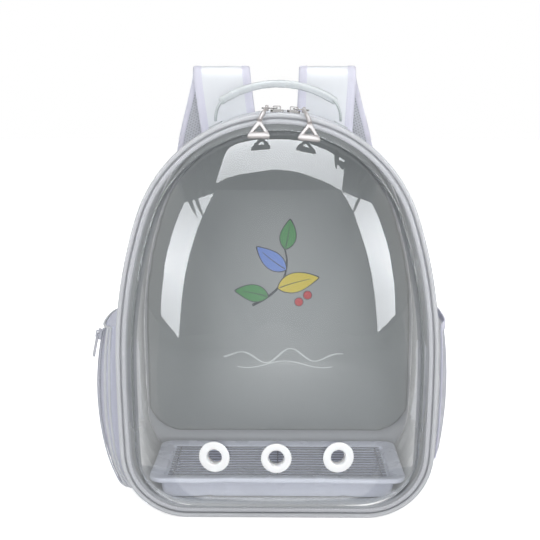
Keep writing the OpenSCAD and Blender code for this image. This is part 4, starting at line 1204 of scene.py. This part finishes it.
# %% Pocket zip
ZIP_Y, heights = -45.14, np.linspace(25.5, 192.5, 56)
section = [(-3.4, 0.35), (-3.4, 1.0), (-1.4, 1.35), (0, 1.0), (1.4, 1.35), (3.4, 1.0), (3.4, 0.35)]
rows = [[on_pocket(ZIP_Y + u, z, w + 0.1) for u, w in section] for z in heights]
finish_with(grid("left_pocket_zip_tape", rows, angle=60), TAPE, "carrier", "left_pocket_zip", slot="zip_tape")
for i, shift in enumerate((-0.55, 0.55)):
    line = even_way([on_pocket(ZIP_Y + shift, z, 1.25) for z in heights], 1.2)[i:]
    finish_with(row_of(f"left_pocket_teeth_{i}", [line], TEETH, 2.4, 1.2, 1.5, 1.0), TEETH, "carrier")


# %% Mesh pocket and its elastic hem
def net_pocket(low=54):
    """One sheet: tight to the body at its foot, gathered into small waves under its hem."""
    rows = []
    for z in np.r_[54.2, 54.4, 55, 56.2, 58, 61, np.linspace(65, 196, 40)]:
        full = math.sqrt(max(0.0, 1 - (1 - min(1.0, (z - low) / 8)) ** 2))
        waves = 0.35 * max(0, (z - 150) / 50)
        rows.append([(side_x(z) + 0.9 + (right_x(y, z) - side_x(z) - 1.4) * full + waves * math.sin(y * 0.5), y, z)
                     for y in across_pocket(61.4, 90, 50)])
    return grid("right_pocket_net", rows, wrap_section=False)


net_bag = net_pocket()
finish_with(net_bag, NET_CLOTH, "carrier", "right_pocket", slot="mesh")
hem_section = [(0, 194.6), (1.1, 194.2), (1.6, 195.4), (1.25, 198.6), (1.6, 201.8), (1.1, 202.8), (0, 202.6)]
rows = [[(right_x(y, 198) + 0.2 + 0.35 * math.sin(y * 1.15) + w, y, z) for w, z in hem_section]
        for y in across_pocket(59, 87, 90)]
finish_with(grid("right_pocket_hem_band", rows, angle=60), BINDING, "carrier", "right_pocket_hem", slot="piping")
for i, y in enumerate((-61.0, 60.0)):
    line = [(right_x(y, z) + 0.2, y, z) for z in np.linspace(56, 201, 40)]
    binding = tube(f"right_pocket_binding_{i}", line, 1.9, sides=10, flat=0.45, up=(1, 0, 0))
    finish_with(binding, BINDING, "carrier")
line = [(side_x(55) + 0.9 + (right_x(y, 60) - side_x(60) - 1.2) * 0.2, y, 55.2) for y in np.linspace(-60, 59, 40)]
finish_with(tube("right_pocket_binding_low", line, 1.5, sides=10), BINDING, "carrier")

# %% [markdown]
# ## Handle
# A strip of coated cloth is rolled round a cord and sewn, then its webbing ends go down to two
# sewn patches on the arch. The roll is slightly uneven, with a seam below and a stitched collar
# near each end.

# %% Rolled grip
GRIP_R, GRIP_Z, GRIP_HALF, GRIP_Y = 112.361, 336.389, 32.88, 30.0


def grip_at(a, rise=0.0, y=0.0):
    a = math.radians(a)
    return np.array([(GRIP_R + rise) * math.sin(a), GRIP_Y + y, GRIP_Z + (GRIP_R + rise) * math.cos(a)])


def round_grip(a, r, t):
    """A point of the roll's skin: at the angle a of the arch, the radius r and the angle t round it."""
    return grip_at(a, r * math.sin(t), r * math.cos(t))


def lap(t):
    """The cloth's own edge, which ends as a low step along the roll."""
    return 0.55 * (1 if 3.7 < t < 4.05 else (4.5 - t) / 0.45 if 4.05 <= t < 4.5 else 0)


angles = np.linspace(-GRIP_HALF - 1.6, GRIP_HALF + 1.6, 120)
thick = 4.15 + 0.12 * np.sin(angles * 0.9) + 0.08 * np.sin(angles * 2.3 + 1)
thick *= np.where(abs(abs(angles) - 27.5) < 2.2, 1.05, 1.0)
thick[[0, -1]], thick[[1, -2]] = 2.9, 3.7
turns = np.linspace(0, 2 * math.pi, 36, endpoint=False)
grip = grid("handle_grip_roll", [[round_grip(a, r + lap(t), t) for t in turns] for a, r in zip(angles, thick)])
finish_with(grip, GRIP, "handle", "handle_grip", slot="strap_fabric")
seam = [grip_at(a, -3.15, -2.9) for a in np.linspace(-31, 31, 60)]
sew("handle_grip_seam", [seam], 3.0, 2.0, 0.5, 0.5, body="handle")
collars = [[round_grip(a, 4.55, t) for t in np.linspace(0.2, 2.9, 14)] for a in (-29.2, -25.8, 25.8, 29.2)]
sew("handle_grip_collars", collars, 2.0, 1.4, 0.45, 0.45, body="handle")


# %% Webbing ends and the patches they are sewn to
def strip_along(name, way, widths, thick, out):
    """Flat webbing along a way of [x, y, z]; out(i) is the direction out of its face, width goes across."""
    way = np.asarray(way, float)
    t, rows = thick / 2, []
    for i, (p, g) in enumerate(zip(way, unit(np.gradient(way, axis=0)))):
        o, w = np.asarray(out(i), float), widths[i] / 2
        o = unit(o - g * (o @ g))
        section = [(w, -t * 0.5), (w, t * 0.5), (w - t * 0.5, t), (w * 0.33, t * 1.08), (-w * 0.33, t * 1.08),
                   (-w + t * 0.5, t), (-w, t * 0.5), (-w, -t * 0.5), (-w + t * 0.5, -t), (w - t * 0.5, -t)]
        rows.append([p + np.cross(g, o) * a + o * b for a, b in section])
    return grid(name, rows, angle=50)


def tab_width(z, pivot=416.412, top=424):
    """Full width of a handle's end: round below its pivot, narrower up into the roll."""
    if z < pivot:
        return 2 * min(9.0, math.sqrt(max(9, 81 - (z - pivot) ** 2)))
    return 18.0 - 6 * max(0, (z - top) / 7)


tab_parts = []
for side in (-1, 1):
    tab_way = [(59.2, 431.6), (63.6, 427.4), (66.9, 420.5), (68.2, 413.5), (68.4, 408.2)]
    way = spline([(side * x, GRIP_Y, z) for x, z in tab_way], 8)
    tab_parts.append(strip_along("handle_tab", way, [tab_width(z) for z in way[:, 2]], 2.6, lambda i: (side, 0, 0.2)))
finish_with(join("handle_tab_webbing", tab_parts), WEBBING, "handle", "handle_tabs", slot="webbing")


# %% Patches on the arch
def patch(name, outline, place, thick, crown=0.0, rings=6, edge=0.5):
    """A closed slab or cushion from an outline; place(u, v, w) puts it where it belongs."""
    outline = np.asarray(outline, float)
    middle = outline.mean(axis=0)
    rows = []
    for f in np.linspace(0.03, 1, rings):
        rows.append([place(u, v, 0.0) for u, v in toward(outline, middle, f * (1 if f < 1 else 1 - edge / 40))])
    for w in np.linspace(0, 1, 5)[1:-1]:
        rows.append([place(u, v, w * thick) for u, v in outline])
    for f in np.linspace(1, 0.03, rings + 2):
        p = toward(outline, middle, f * (1 if f < 1 else 1 - edge / 25))
        rows.append([place(u, v, thick + crown * (1 - f ** 2.2)) for u, v in p])
    return grid(name, rows, angle=60)


def on_arch(a, x, y, r):
    """A place on the top arch: turned by the angle a, then x along it, at the radius r."""
    a = math.radians(a)
    return (x * math.cos(a) + r * math.sin(a), y, ARCH_Z - x * math.sin(a) + r * math.cos(a))


anchor_a = math.degrees(math.asin(68 / 150))
box = even_way([(-6, -10), (6, -10), (6, 10), (-6, 10), (-6, -10), (6, 10)], 1.0)
anchors, crosses = [], []
for a in (-anchor_a, anchor_a):
    def on_top(u, v, w):
        return on_arch(a, u, GRIP_Y + v, ARCH_R + 0.35 + w)

    anchors.append(patch("anchor", rounded_box(15.8, 23.8, 2), on_top, 1.3))
    crosses.append([on_top(u, v, 1.45) for u, v in box])
finish_with(join("handle_anchor_patches", anchors), WEBBING, "carrier", "handle_anchors", slot="webbing")
sew("handle_anchor_stitches", crosses, 1.8, 1.3, 0.4, 0.3)

# %% [markdown]
# ## Shoulder straps
# Each strap is foam between a coated face, which shows from the front, and air mesh, which lies
# on the shoulder. A tape is folded round each edge and sewn through. The strap comes out of a
# yoke on the back, rises over the top and falls behind. It is modelled directly along its way.

# %% Strap, its edge tapes and their stitches
STRAP_Y, YOKE_TOP, STRAP_W = 94.0, 371.7, 64
strap_way = [(53, 0, YOKE_TOP - 3), (55, 0, 400), (58, 1, 432), (60, 3, 454), (61, 11.5, 465), (63, 20, 454),
             (70, 24, 430), (84, 29, 380), (95, 34, 320), (101, 33, 262), (104, 27, 218)]


def strap_frames(side):
    """The strap's middle line, the direction toward its mesh side, and its width."""
    way = spline([(x, STRAP_Y + y, z) for x, y, z in strap_way], 9) * [side, 1, 1]
    share = np.linspace(0, 1, len(way))
    way[:, 0] -= 5.0 * np.sin(math.pi * share) ** 0.7
    go = unit(np.gradient(way, axis=0))
    inner = unit(np.c_[np.zeros(len(go)), go[:, 2], -go[:, 1]])
    width = STRAP_W * (1 - 0.28 * share ** 3) + 2.4 * np.sin(math.pi * share)
    width[-3:] *= [0.97, 0.9, 0.74]
    return list(zip(way, inner, width))


def strap_core(name, side):
    rows, frames = [], strap_frames(side)
    for i, (p, o, w) in enumerate(frames):
        thin = 0.55 if i in (0, len(frames) - 1) else 1
        half, u = w / 2 - 1.2, np.linspace(-1, 1, 15)
        face = np.c_[half * u, -(3.4 + 0.9 * (1 - u ** 4)) * thin]
        mesh_side = np.c_[half * u, (3.1 + 1.2 * (1 - u ** 4) + 0.12 * math.sin(i * 1.1)) * thin][::-1]
        rows.append([p + a * np.array([side, 0, 0]) + b * o for a, b in np.vstack([face, mesh_side])])
    return grid(name, rows, angle=60)


def edge_tape(side, edge):
    """Tape folded round one edge: over the face, round the edge and onto the mesh side."""
    section = [(-9.5, -4.45), (-5, -4.6), (-1.4, -4.3), (-0.1, -3.1), (0.1, 0), (-0.1, 3.0), (-1.4, 4.2), (-6.5, 4.45),
               (-6.5, 3.7), (-1.8, 3.5), (-0.9, 2.6), (-0.8, 0), (-0.9, -2.6), (-1.9, -3.6), (-5, -3.9), (-9.5, -3.8)]
    rows = [[p + edge * (w / 2 + a) * np.array([side, 0, 0]) + b * o for a, b in section]
            for p, o, w in strap_frames(side)[1:-1]]
    return grid("edge_tape", rows, angle=60)


for side, name in ((-1, "left"), (1, "right")):
    core, frames = strap_core("strap_core_" + name, side), strap_frames(side)
    way = np.array([p for p, _, _ in frames])
    core.data.materials.append(STRAP)
    core.data.materials.append(AIR_MESH)
    for face in core.data.polygons:
        c = np.array(face.center) * 1000
        p, o, _ = frames[np.argmin(np.linalg.norm((way - c)[:, 1:], axis=1))]
        face.material_index = int((c - p) @ o > 0.8)
    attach(core, "carrier")
    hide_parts("strap_" + name)
    finish_with(join(f"strap_{name}_tapes", [edge_tape(side, -1), edge_tape(side, 1)]), BINDING, "carrier")
    lines = [[p + edge * (w / 2 - e) * np.array([side, 0, 0]) + depth * o for p, o, w in frames[2:-3]]
             for edge in (-1, 1) for e, depth in ((8.3, -4.75), (5.4, 4.7))]
    sew(f"strap_{name}_stitches", lines, 3.4, 2.3, 0.6, 0.5)

# %% Yoke
BACK_Y, YOKE_Z = 88.6, 360.85                 # the back's outer face, where pads and yoke are sewn on
yoke = patch("strap_yoke_panel", rounded_box(189, 21.2, 5), lambda u, v, w: (u, BACK_Y + w, YOKE_Z + v), 9.6, 0.9,
             edge=0.8)
finish_with(yoke, STRAP, "carrier", "strap_yoke", slot="strap_fabric")
yoke_line = even_way([(u, 99.35, YOKE_Z + v) for u, v in rounded_box(181, 14, 4)], 3.4, closed=True)
sew("strap_yoke_stitches", [yoke_line], 3.4, 2.3, 0.6, 0.5, closed=True)

# %% [markdown]
# ## Back pads and adjusting webbing
# Three pads of foam under air mesh rest on the wearer's back. They are swelled as cloth, as the
# lining was, and a piping hides the seam where they meet the back.

# %% Back pads
pad_parts, pad_edges = [], []
for i, (x, z, w, h) in enumerate(((-62, 210, 96, 230), (62, 210, 96, 230), (0, 62, 200, 44))):
    outline = box_ring(w - 3, h - 3, 17, n=8, straight=10)
    pad = patch(f"pad_{i}", outline, lambda u, v, t: (x + u, BACK_Y + t, z + v), 8.2, 0.8, rings=8, edge=2.0)
    puff(pad, 1.3, 4.0)
    pad_parts.append(pad)
    outline = box_ring(w - 1.6, h - 1.6, 17.5, n=8, straight=10)
    pad_edges.append(tube("pad_edge", [(x + u, 89.9, z + v) for u, v in outline], 1.3, sides=10, closed=True))
pads = join("back_pad_cushions", pad_parts)
finish_with(pads, PAD_MESH, "carrier", "back_pads", slot="back_mesh")
finish_with(join("back_pad_piping", pad_edges), PIPING, "carrier")

# %% Adjusting webbing, its anchors and their stitches
web_way = [(104.5, 120.4, 216), (105.5, 118.5, 200), (108, 113, 165), (114, 103, 115), (121, 91.6, 72)]
outline = np.array([(104, 38), (142, 50), (135, 71), (107, 71)], float)
outline = even_way([a * (1 - t) + b * t for a, b in zip(outline, np.roll(outline, -1, axis=0))
                    for t in np.linspace(0.08, 0.92, 8)], 3, closed=True)
anchors, lines = [], []
for side, name in ((-1, "left"), (1, "right")):
    way = spline(web_way, 10) * [side, 1, 1]
    go = unit(np.gradient(way, axis=0))
    web = strip_along(f"webbing_{name}_band", way, [25.0] * len(way), 1.6, lambda i: (0, go[i][2], -go[i][1]))
    finish_with(web, WEBBING, "carrier", "webbing_" + name, slot="webbing")
    anchors.append(patch("anchor", outline * [side, 1], lambda u, v, w: (u, BACK_Y + w, v), 3.4, 0.3))
    line = toward(np.vstack([outline, outline[:1]]), outline.mean(axis=0), 0.86) * [side, 1]
    lines.append(upright(line, 92.35))
finish_with(join("strap_anchor_patches", anchors), BODY, "carrier", "strap_anchors", slot="strap_fabric")
sew("strap_anchor_stitches", lines, 3.0, 2.0, 0.5, 0.4)

# %% [markdown]
# ## Pulls
# Each pull is one casting: an eye on the link's wire, a neck that bends over the rim, and a
# rounded triangle with a window. Its triangle is swept round the window, so that all its edges
# are soft.

# %% Pull
def star(outline, middle, angles):
    """Distance from a middle to an outline in each direction."""
    d = np.asarray(outline, float) - middle
    a = np.unwrap(np.arctan2(d[:, 1], d[:, 0]))
    order = np.argsort(a)
    a, r = a[order], np.linalg.norm(d, axis=1)[order]
    return np.interp(angles, np.r_[a - 2 * math.pi, a, a + 2 * math.pi], np.r_[r, r, r])


def round_triangle(points, reach, n=8):
    p = np.asarray(points, float)
    return even_way(soften(np.vstack([p[-1:], p, p[:1]]), reach, n)[1:-1], 0.4, closed=True)


LINK_R, EYE_Y, PULL_T = 154.4, -82.2, 1.6     # the link's wire, and half the plate's thickness
SIDE_VIEW = [126.0, 126.9, 141.2, 150.2, 154.4], [-113.8, -113.0, -100.0, -95.0, -82.2]  # radius, depth
TILT_Y, TILT_R = -0.74, 0.67                  # the way out of the pull's face


def pull_piece(name, side):
    """Plate, neck and eye of one pull, which leans a little to its own side."""
    a, reach, lean = 2.981 + side * 3.1704, side * 9.9, side * 7.0

    def place(u, r, w):
        return on_arch(a, reach + u, float(np.interp(r, *SIDE_VIEW)) + TILT_Y * w, r + TILT_R * w)

    def triangle(half, low, top, reach):
        return round_triangle([(lean * 1.1 + half, low), (lean, top), (lean * 1.1 - half, low)], reach)

    middle = np.array([lean * 1.05, 133.2])
    angles = np.linspace(0, 2 * math.pi, 72, endpoint=False)
    rows = []
    for t, o, i in zip(angles, star(triangle(12.6, 126.0, 144.4, 4.2), middle, angles),
                       star(triangle(5.4, 131.2, 137.8, 1.2), middle, angles)):
        section = [(o - 0.9, PULL_T), (o - 0.25, 1.25), (o, 0.6), (o, -0.6), (o - 0.25, -1.25), (o - 0.9, -PULL_T),
                   (i + 0.6, -PULL_T), (i + 0.1, -1.2), (i, 0), (i + 0.1, 1.2), (i + 0.6, PULL_T)]
        rows.append([place(*(middle + np.array([math.cos(t), math.sin(t)]) * d), w) for d, w in section])
    plate = grid("plate", rows, wrap_rows=True, angle=50)
    neck_way = spline([(lean, 142.6, -101.3), (lean * 0.8, 146.0, -98.0), (lean * 0.45, 150.4, -94.6),
                       (lean * 0.15, 153.4, -88.6), (0, 154.4, -84.6)], 7)
    neck = tube("neck", [on_arch(a, reach + u, y, r) for u, r, y in neck_way],
                np.linspace(2.5, 1.55, len(neck_way)), sides=14)
    ring = [on_arch(a, reach, EYE_Y + 2.2 * math.cos(t), LINK_R + 2.2 * math.sin(t))
            for t in np.linspace(0, 2 * math.pi, 28, endpoint=False)]
    across = np.array(on_arch(a, 1, 0, 0)) - np.array(on_arch(a, 0, 0, 0))
    eye = tube("eye", ring, 0.88, closed=True, flat=1.9, up=across)
    finish_with(join(f"pull_{name}_casting", [plate, neck, eye]), PULL, name + "_pull", "pull_" + name,
                slot="pull_plastic")


pull_piece("left", -1)
pull_piece("right", 1)

# %% [markdown]
# ## Camera
# The photograph was taken from about 1.25 m, a little above the carrier and almost straight in
# front. The place and the lens were worked out from the outline's size and the tray's corners.

# %% Camera
EYE, YAW, PITCH, PIXELS, FOCAL = np.array([9.0, -1250.0, 443.0]), math.radians(-0.8), math.radians(8.85), 540, 1162.0
AHEAD = np.array([math.sin(YAW) * math.cos(PITCH), math.cos(YAW) * math.cos(PITCH), -math.sin(PITCH)])
RIGHT = unit(np.cross(AHEAD, (0, 0, 1)))
UP = np.cross(RIGHT, AHEAD)
camera = bpy.data.objects.new("camera", bpy.data.cameras.new("camera"))
collection.objects.link(camera)
camera.location = Vector(EYE * MM)
camera.rotation_euler = (math.radians(90) - PITCH, 0, -YAW)
camera.data.sensor_width, camera.data.lens = 36, FOCAL * 36 / PIXELS
camera.data.clip_start, camera.data.clip_end = 0.05, 30
bpy.context.scene.camera = camera


def ray(px, py):
    """Direction from the camera through a pixel."""
    return unit(AHEAD + RIGHT * (px - PIXELS / 2) / FOCAL - UP * (py - PIXELS / 2) / FOCAL)


def pixel(point):
    """Where a point in millimetres lands in the picture."""
    d = np.asarray(point) - EYE
    return PIXELS / 2 + FOCAL * (d @ RIGHT) / (d @ AHEAD), PIXELS / 2 - FOCAL * (d @ UP) / (d @ AHEAD)


print("lens", round(camera.data.lens, 1), "mm; the body's top at pixel", np.round(pixel((0, FRONT_Y, BODY_H))))


# %% [markdown]
# ## Light
# A white studio: even light from all round, one large soft lamp above and in front, and weaker
# ones in front, above, behind and at one side. The dome shows three soft panels and a faint
# middle, and black cards darken its foot, as they do in a photographer's studio. Their shapes
# come from bouncing the camera's rays off the dome. Only glossy rays see them, and the black
# ones are seen through the clear shell too.

# %% World and lamps
def seen_by_lens(tree):
    """1 for rays that end in the picture as they are: straight, mirrored or through the shell."""
    rays = put(tree, "ShaderNodeLightPath").outputs
    mirrored = calc(tree, "MAXIMUM", rays["Is Camera Ray"], rays["Is Glossy Ray"])
    return calc(tree, "MAXIMUM", mirrored, rays["Is Transmission Ray"])


def lamp(name, place, size, power, aim=(0, 0, 0.2)):
    light = bpy.data.lights.new(name, "AREA")
    light.shape, light.size, light.energy = "DISK", size, power
    piece = object_from(name, light)
    piece.location = place
    piece.rotation_euler = (Vector(aim) - Vector(place)).to_track_quat("-Z", "Y").to_euler()
    piece.visible_glossy = piece.visible_transmission = False


world = bpy.data.worlds.new("studio")
bpy.context.scene.world = world
world.use_nodes = True
sky = world.node_tree.nodes["Background"].inputs
sky["Color"].default_value = (1, 1, 1, 1)
world.node_tree.links.new(ranged(world.node_tree, seen_by_lens(world.node_tree), 0.42, 1.0), sky["Strength"])
lamp("key", (-0.5, -1.6, 1.7), 1.3, 11)
lamp("front", (0.2, -2.0, 0.45), 0.9, 13)
lamp("side", (1.7, -0.7, 1.0), 1.2, 5)
lamp("top", (0, 0.2, 1.9), 1.4, 2.5)
lamp("back", (-0.9, 1.6, 0.9), 1.2, 6)
print("lamps:", {light.name: light.energy for light in bpy.data.lights})

# %% How a card finds its shape
from mathutils.interpolate import poly_3d_calc


def bounce(px, py, far, lowest):
    """Where the camera's ray through a pixel goes after it has bounced off the dome, kept above the floor."""
    way = Vector(ray(px, py))
    _, spot, _, face = dome.ray_cast(Vector(EYE * MM), way)
    corners = [dome.data.vertices[i] for i in dome.data.polygons[face].vertices]
    weights = poly_3d_calc([c.co for c in corners], spot)
    normal = sum((c.normal * w for c, w in zip(corners, weights)), Vector()).normalized()
    go = way.reflect(normal)
    return spot + go * min(far, (spot.z - lowest) / max(-go.z, 1e-6))


def foot(share, index):
    """Pixels of the dome's wall at one share of its height, for some places round the outline."""
    ring = dome_ring(FOOT, FRONT_Y, share)
    return [pixel(ring[i]) for i in index]


def bell(t, power=2):
    return max(0.0, math.sin(math.pi * t)) ** power


def dip(t, at):
    return math.exp(-((t - at) / 0.075) ** 2)


flank = [i for i in range(0, RIM_N // 2, 3) if 60 < rim[i, 1] < 345]
other_flank = [-i for i in flank]
low = [i for i in range(-RIM_N // 4, RIM_N // 4, 3) if rim[i, 1] < 60]
print("places round the foot:", len(flank), "at each flank and", len(low), "below")

# %% Panels of light and black cards
# each card: its two edges as pixels from one end to the other, its glow at the share s along and
# t across, its distance and its least height in metres
cards = {
    "top": ([(216.3, 182.3), (222, 163), (230, 147.5), (251, 140.6), (276, 139.3), (301, 141), (319, 147),
             (333, 153.5), (344.6, 160.3)],
            [(217.5, 183), (226, 178.6), (240, 174.5), (258, 171.8), (276, 169.5), (300, 173), (320, 180),
             (332, 185.5), (342.3, 191)],
            lambda s, t: 12 - 2 * t + 2 * bell(s), 2.5, 0.004),
    "left": ([(184.4, 203), (177, 220), (170.4, 240.6), (166, 258), (163.7, 274), (161.5, 295), (160.8, 315.4)],
             [(213.9, 193), (200, 222), (191.8, 247), (187, 265), (183.8, 283), (181.4, 303), (178.8, 338)],
             lambda s, t: 11 + 2 * t + 5 * bell(s), 2.5, 0.004),
    "right": ([(371.5, 203), (379, 219), (384.8, 236), (389, 252), (392.2, 269.6), (394.5, 290), (395.6, 314.6)],
              [(342, 192), (352, 209), (359, 228), (364.5, 245), (369.5, 264), (374.5, 295), (377.8, 333)],
              lambda s, t: 13 - 2 * t + 5 * bell(s), 2.5, 0.004),
    "front": ([(200, 190), (180, 225), (168, 270), (161, 310), (158, 350), (157, 390), (162, 425)],
              [(356, 190), (377, 225), (392, 270), (401, 310), (407, 350), (409, 390), (404, 425)],
              lambda s, t: 1 + bell(s, 0.8) * (2.6 * bell(t, 3) - 0.7 * dip(t, 0.15) - 0.9 * dip(t, 0.85 + 0.1 * s)),
              2.6, 0.004),
    "flag_top": ([(172, 172), (191, 151), (215, 137), (245, 128.5), (276, 126), (307, 128.5), (337, 137), (361, 151),
                  (382, 174)],
                 [(181, 182), (200, 162), (222, 147), (250, 139), (276, 137.5), (303, 139), (333, 149), (352, 162),
                  (374, 185)],
                 lambda s, t: 1 - 0.9 * bell(s, 0.4) * bell(t, 0.5), 2.7, 0.004),
    "flag_left": (foot(0.03, other_flank), foot(0.14, other_flank), lambda s, t: 1 - bell(s, 0.5), 2.7, 0.008),
    "flag_right": (foot(0.03, flank), foot(0.14, flank), lambda s, t: 1 - bell(s, 0.5), 2.7, 0.008),
    "flag_low": (foot(0.04, low), foot(0.75, low), lambda s, t: 1 - 0.75 * bell(s, 0.5), 2.3, 0.006),
    "flag_rim": ([(158, 489), (170, 495.5), (190, 500), (230, 501.2), (276, 501.4), (322, 501.2), (362, 500),
                  (382, 495.5), (394, 489)],
                 [(156, 492.5), (168, 499.5), (189, 504.5), (230, 506), (276, 506.2), (322, 506), (363, 504.5),
                  (384, 499.5), (396, 492.5)],
                 lambda s, t: 1 - 0.5 * bell(s, 0.4), 2.2, 0.01)}
print("cards drawn:", list(cards))

# %% Cards in their places
ACROSS = 25  # points across a card
for name, (first, second, glow_at, far, lowest) in cards.items():
    first, second = spline(first, 4), spline(second, 4)
    spots, glow = [], []
    for s, a, b in zip(np.linspace(0, 1, len(first)), first, second):
        for t in np.linspace(0, 1, ACROSS):
            spots.append(bounce(*(a + (b - a) * t), far, lowest))
            glow.append(glow_at(s, t))
    quads = [(i + k, i + k + 1, i + k + 1 + ACROSS, i + k + ACROSS)
             for i in range(0, len(spots) - ACROSS, ACROSS) for k in range(ACROSS - 1)]
    mesh = bpy.data.meshes.new("card_" + name)
    mesh.from_pydata(spots, [], quads)
    mesh.attributes.new("glow", "FLOAT", "POINT").data.foreach_set("value", glow)
    shine, tree, sockets = material("card " + name, (0, 0, 0, 1), 1.0, Emission_Color=(0.94, 0.965, 1, 1))
    strength = put(tree, "ShaderNodeAttribute", {"attribute_name": "glow"}).outputs["Fac"]
    tree.links.new(strength, sockets["Emission Strength"])
    shine.cycles.emission_sampling = "NONE"
    mesh.materials.append(shine)
    card = object_from("card_" + name, mesh)
    card.visible_camera = card.visible_diffuse = card.visible_shadow = False
    card.visible_transmission = name.startswith("flag")
    print(card.name, "has", len(quads), "faces")

# %% Floor
GROUND, tree, sockets = material("pale floor", (0.86, 0.86, 0.86, 1), 0.9, Emission_Color=(1, 1, 1, 1))
tree.links.new(calc(tree, "MULTIPLY", seen_by_lens(tree), 0.7), sockets["Emission Strength"])
GROUND.cycles.emission_sampling = "NONE"
floor = bpy.data.meshes.new("floor")
floor.from_pydata([(x, y, -0.0005) for x, y in ((-9, -9), (9, -9), (9, 9), (-9, 9))], [], [(0, 1, 2, 3)])
floor.materials.append(GROUND)
object_from("floor", floor)
bpy.context.scene.view_settings.view_transform = "Standard"
print("floor and", len(cards), "cards are stage, not part of the carrier")
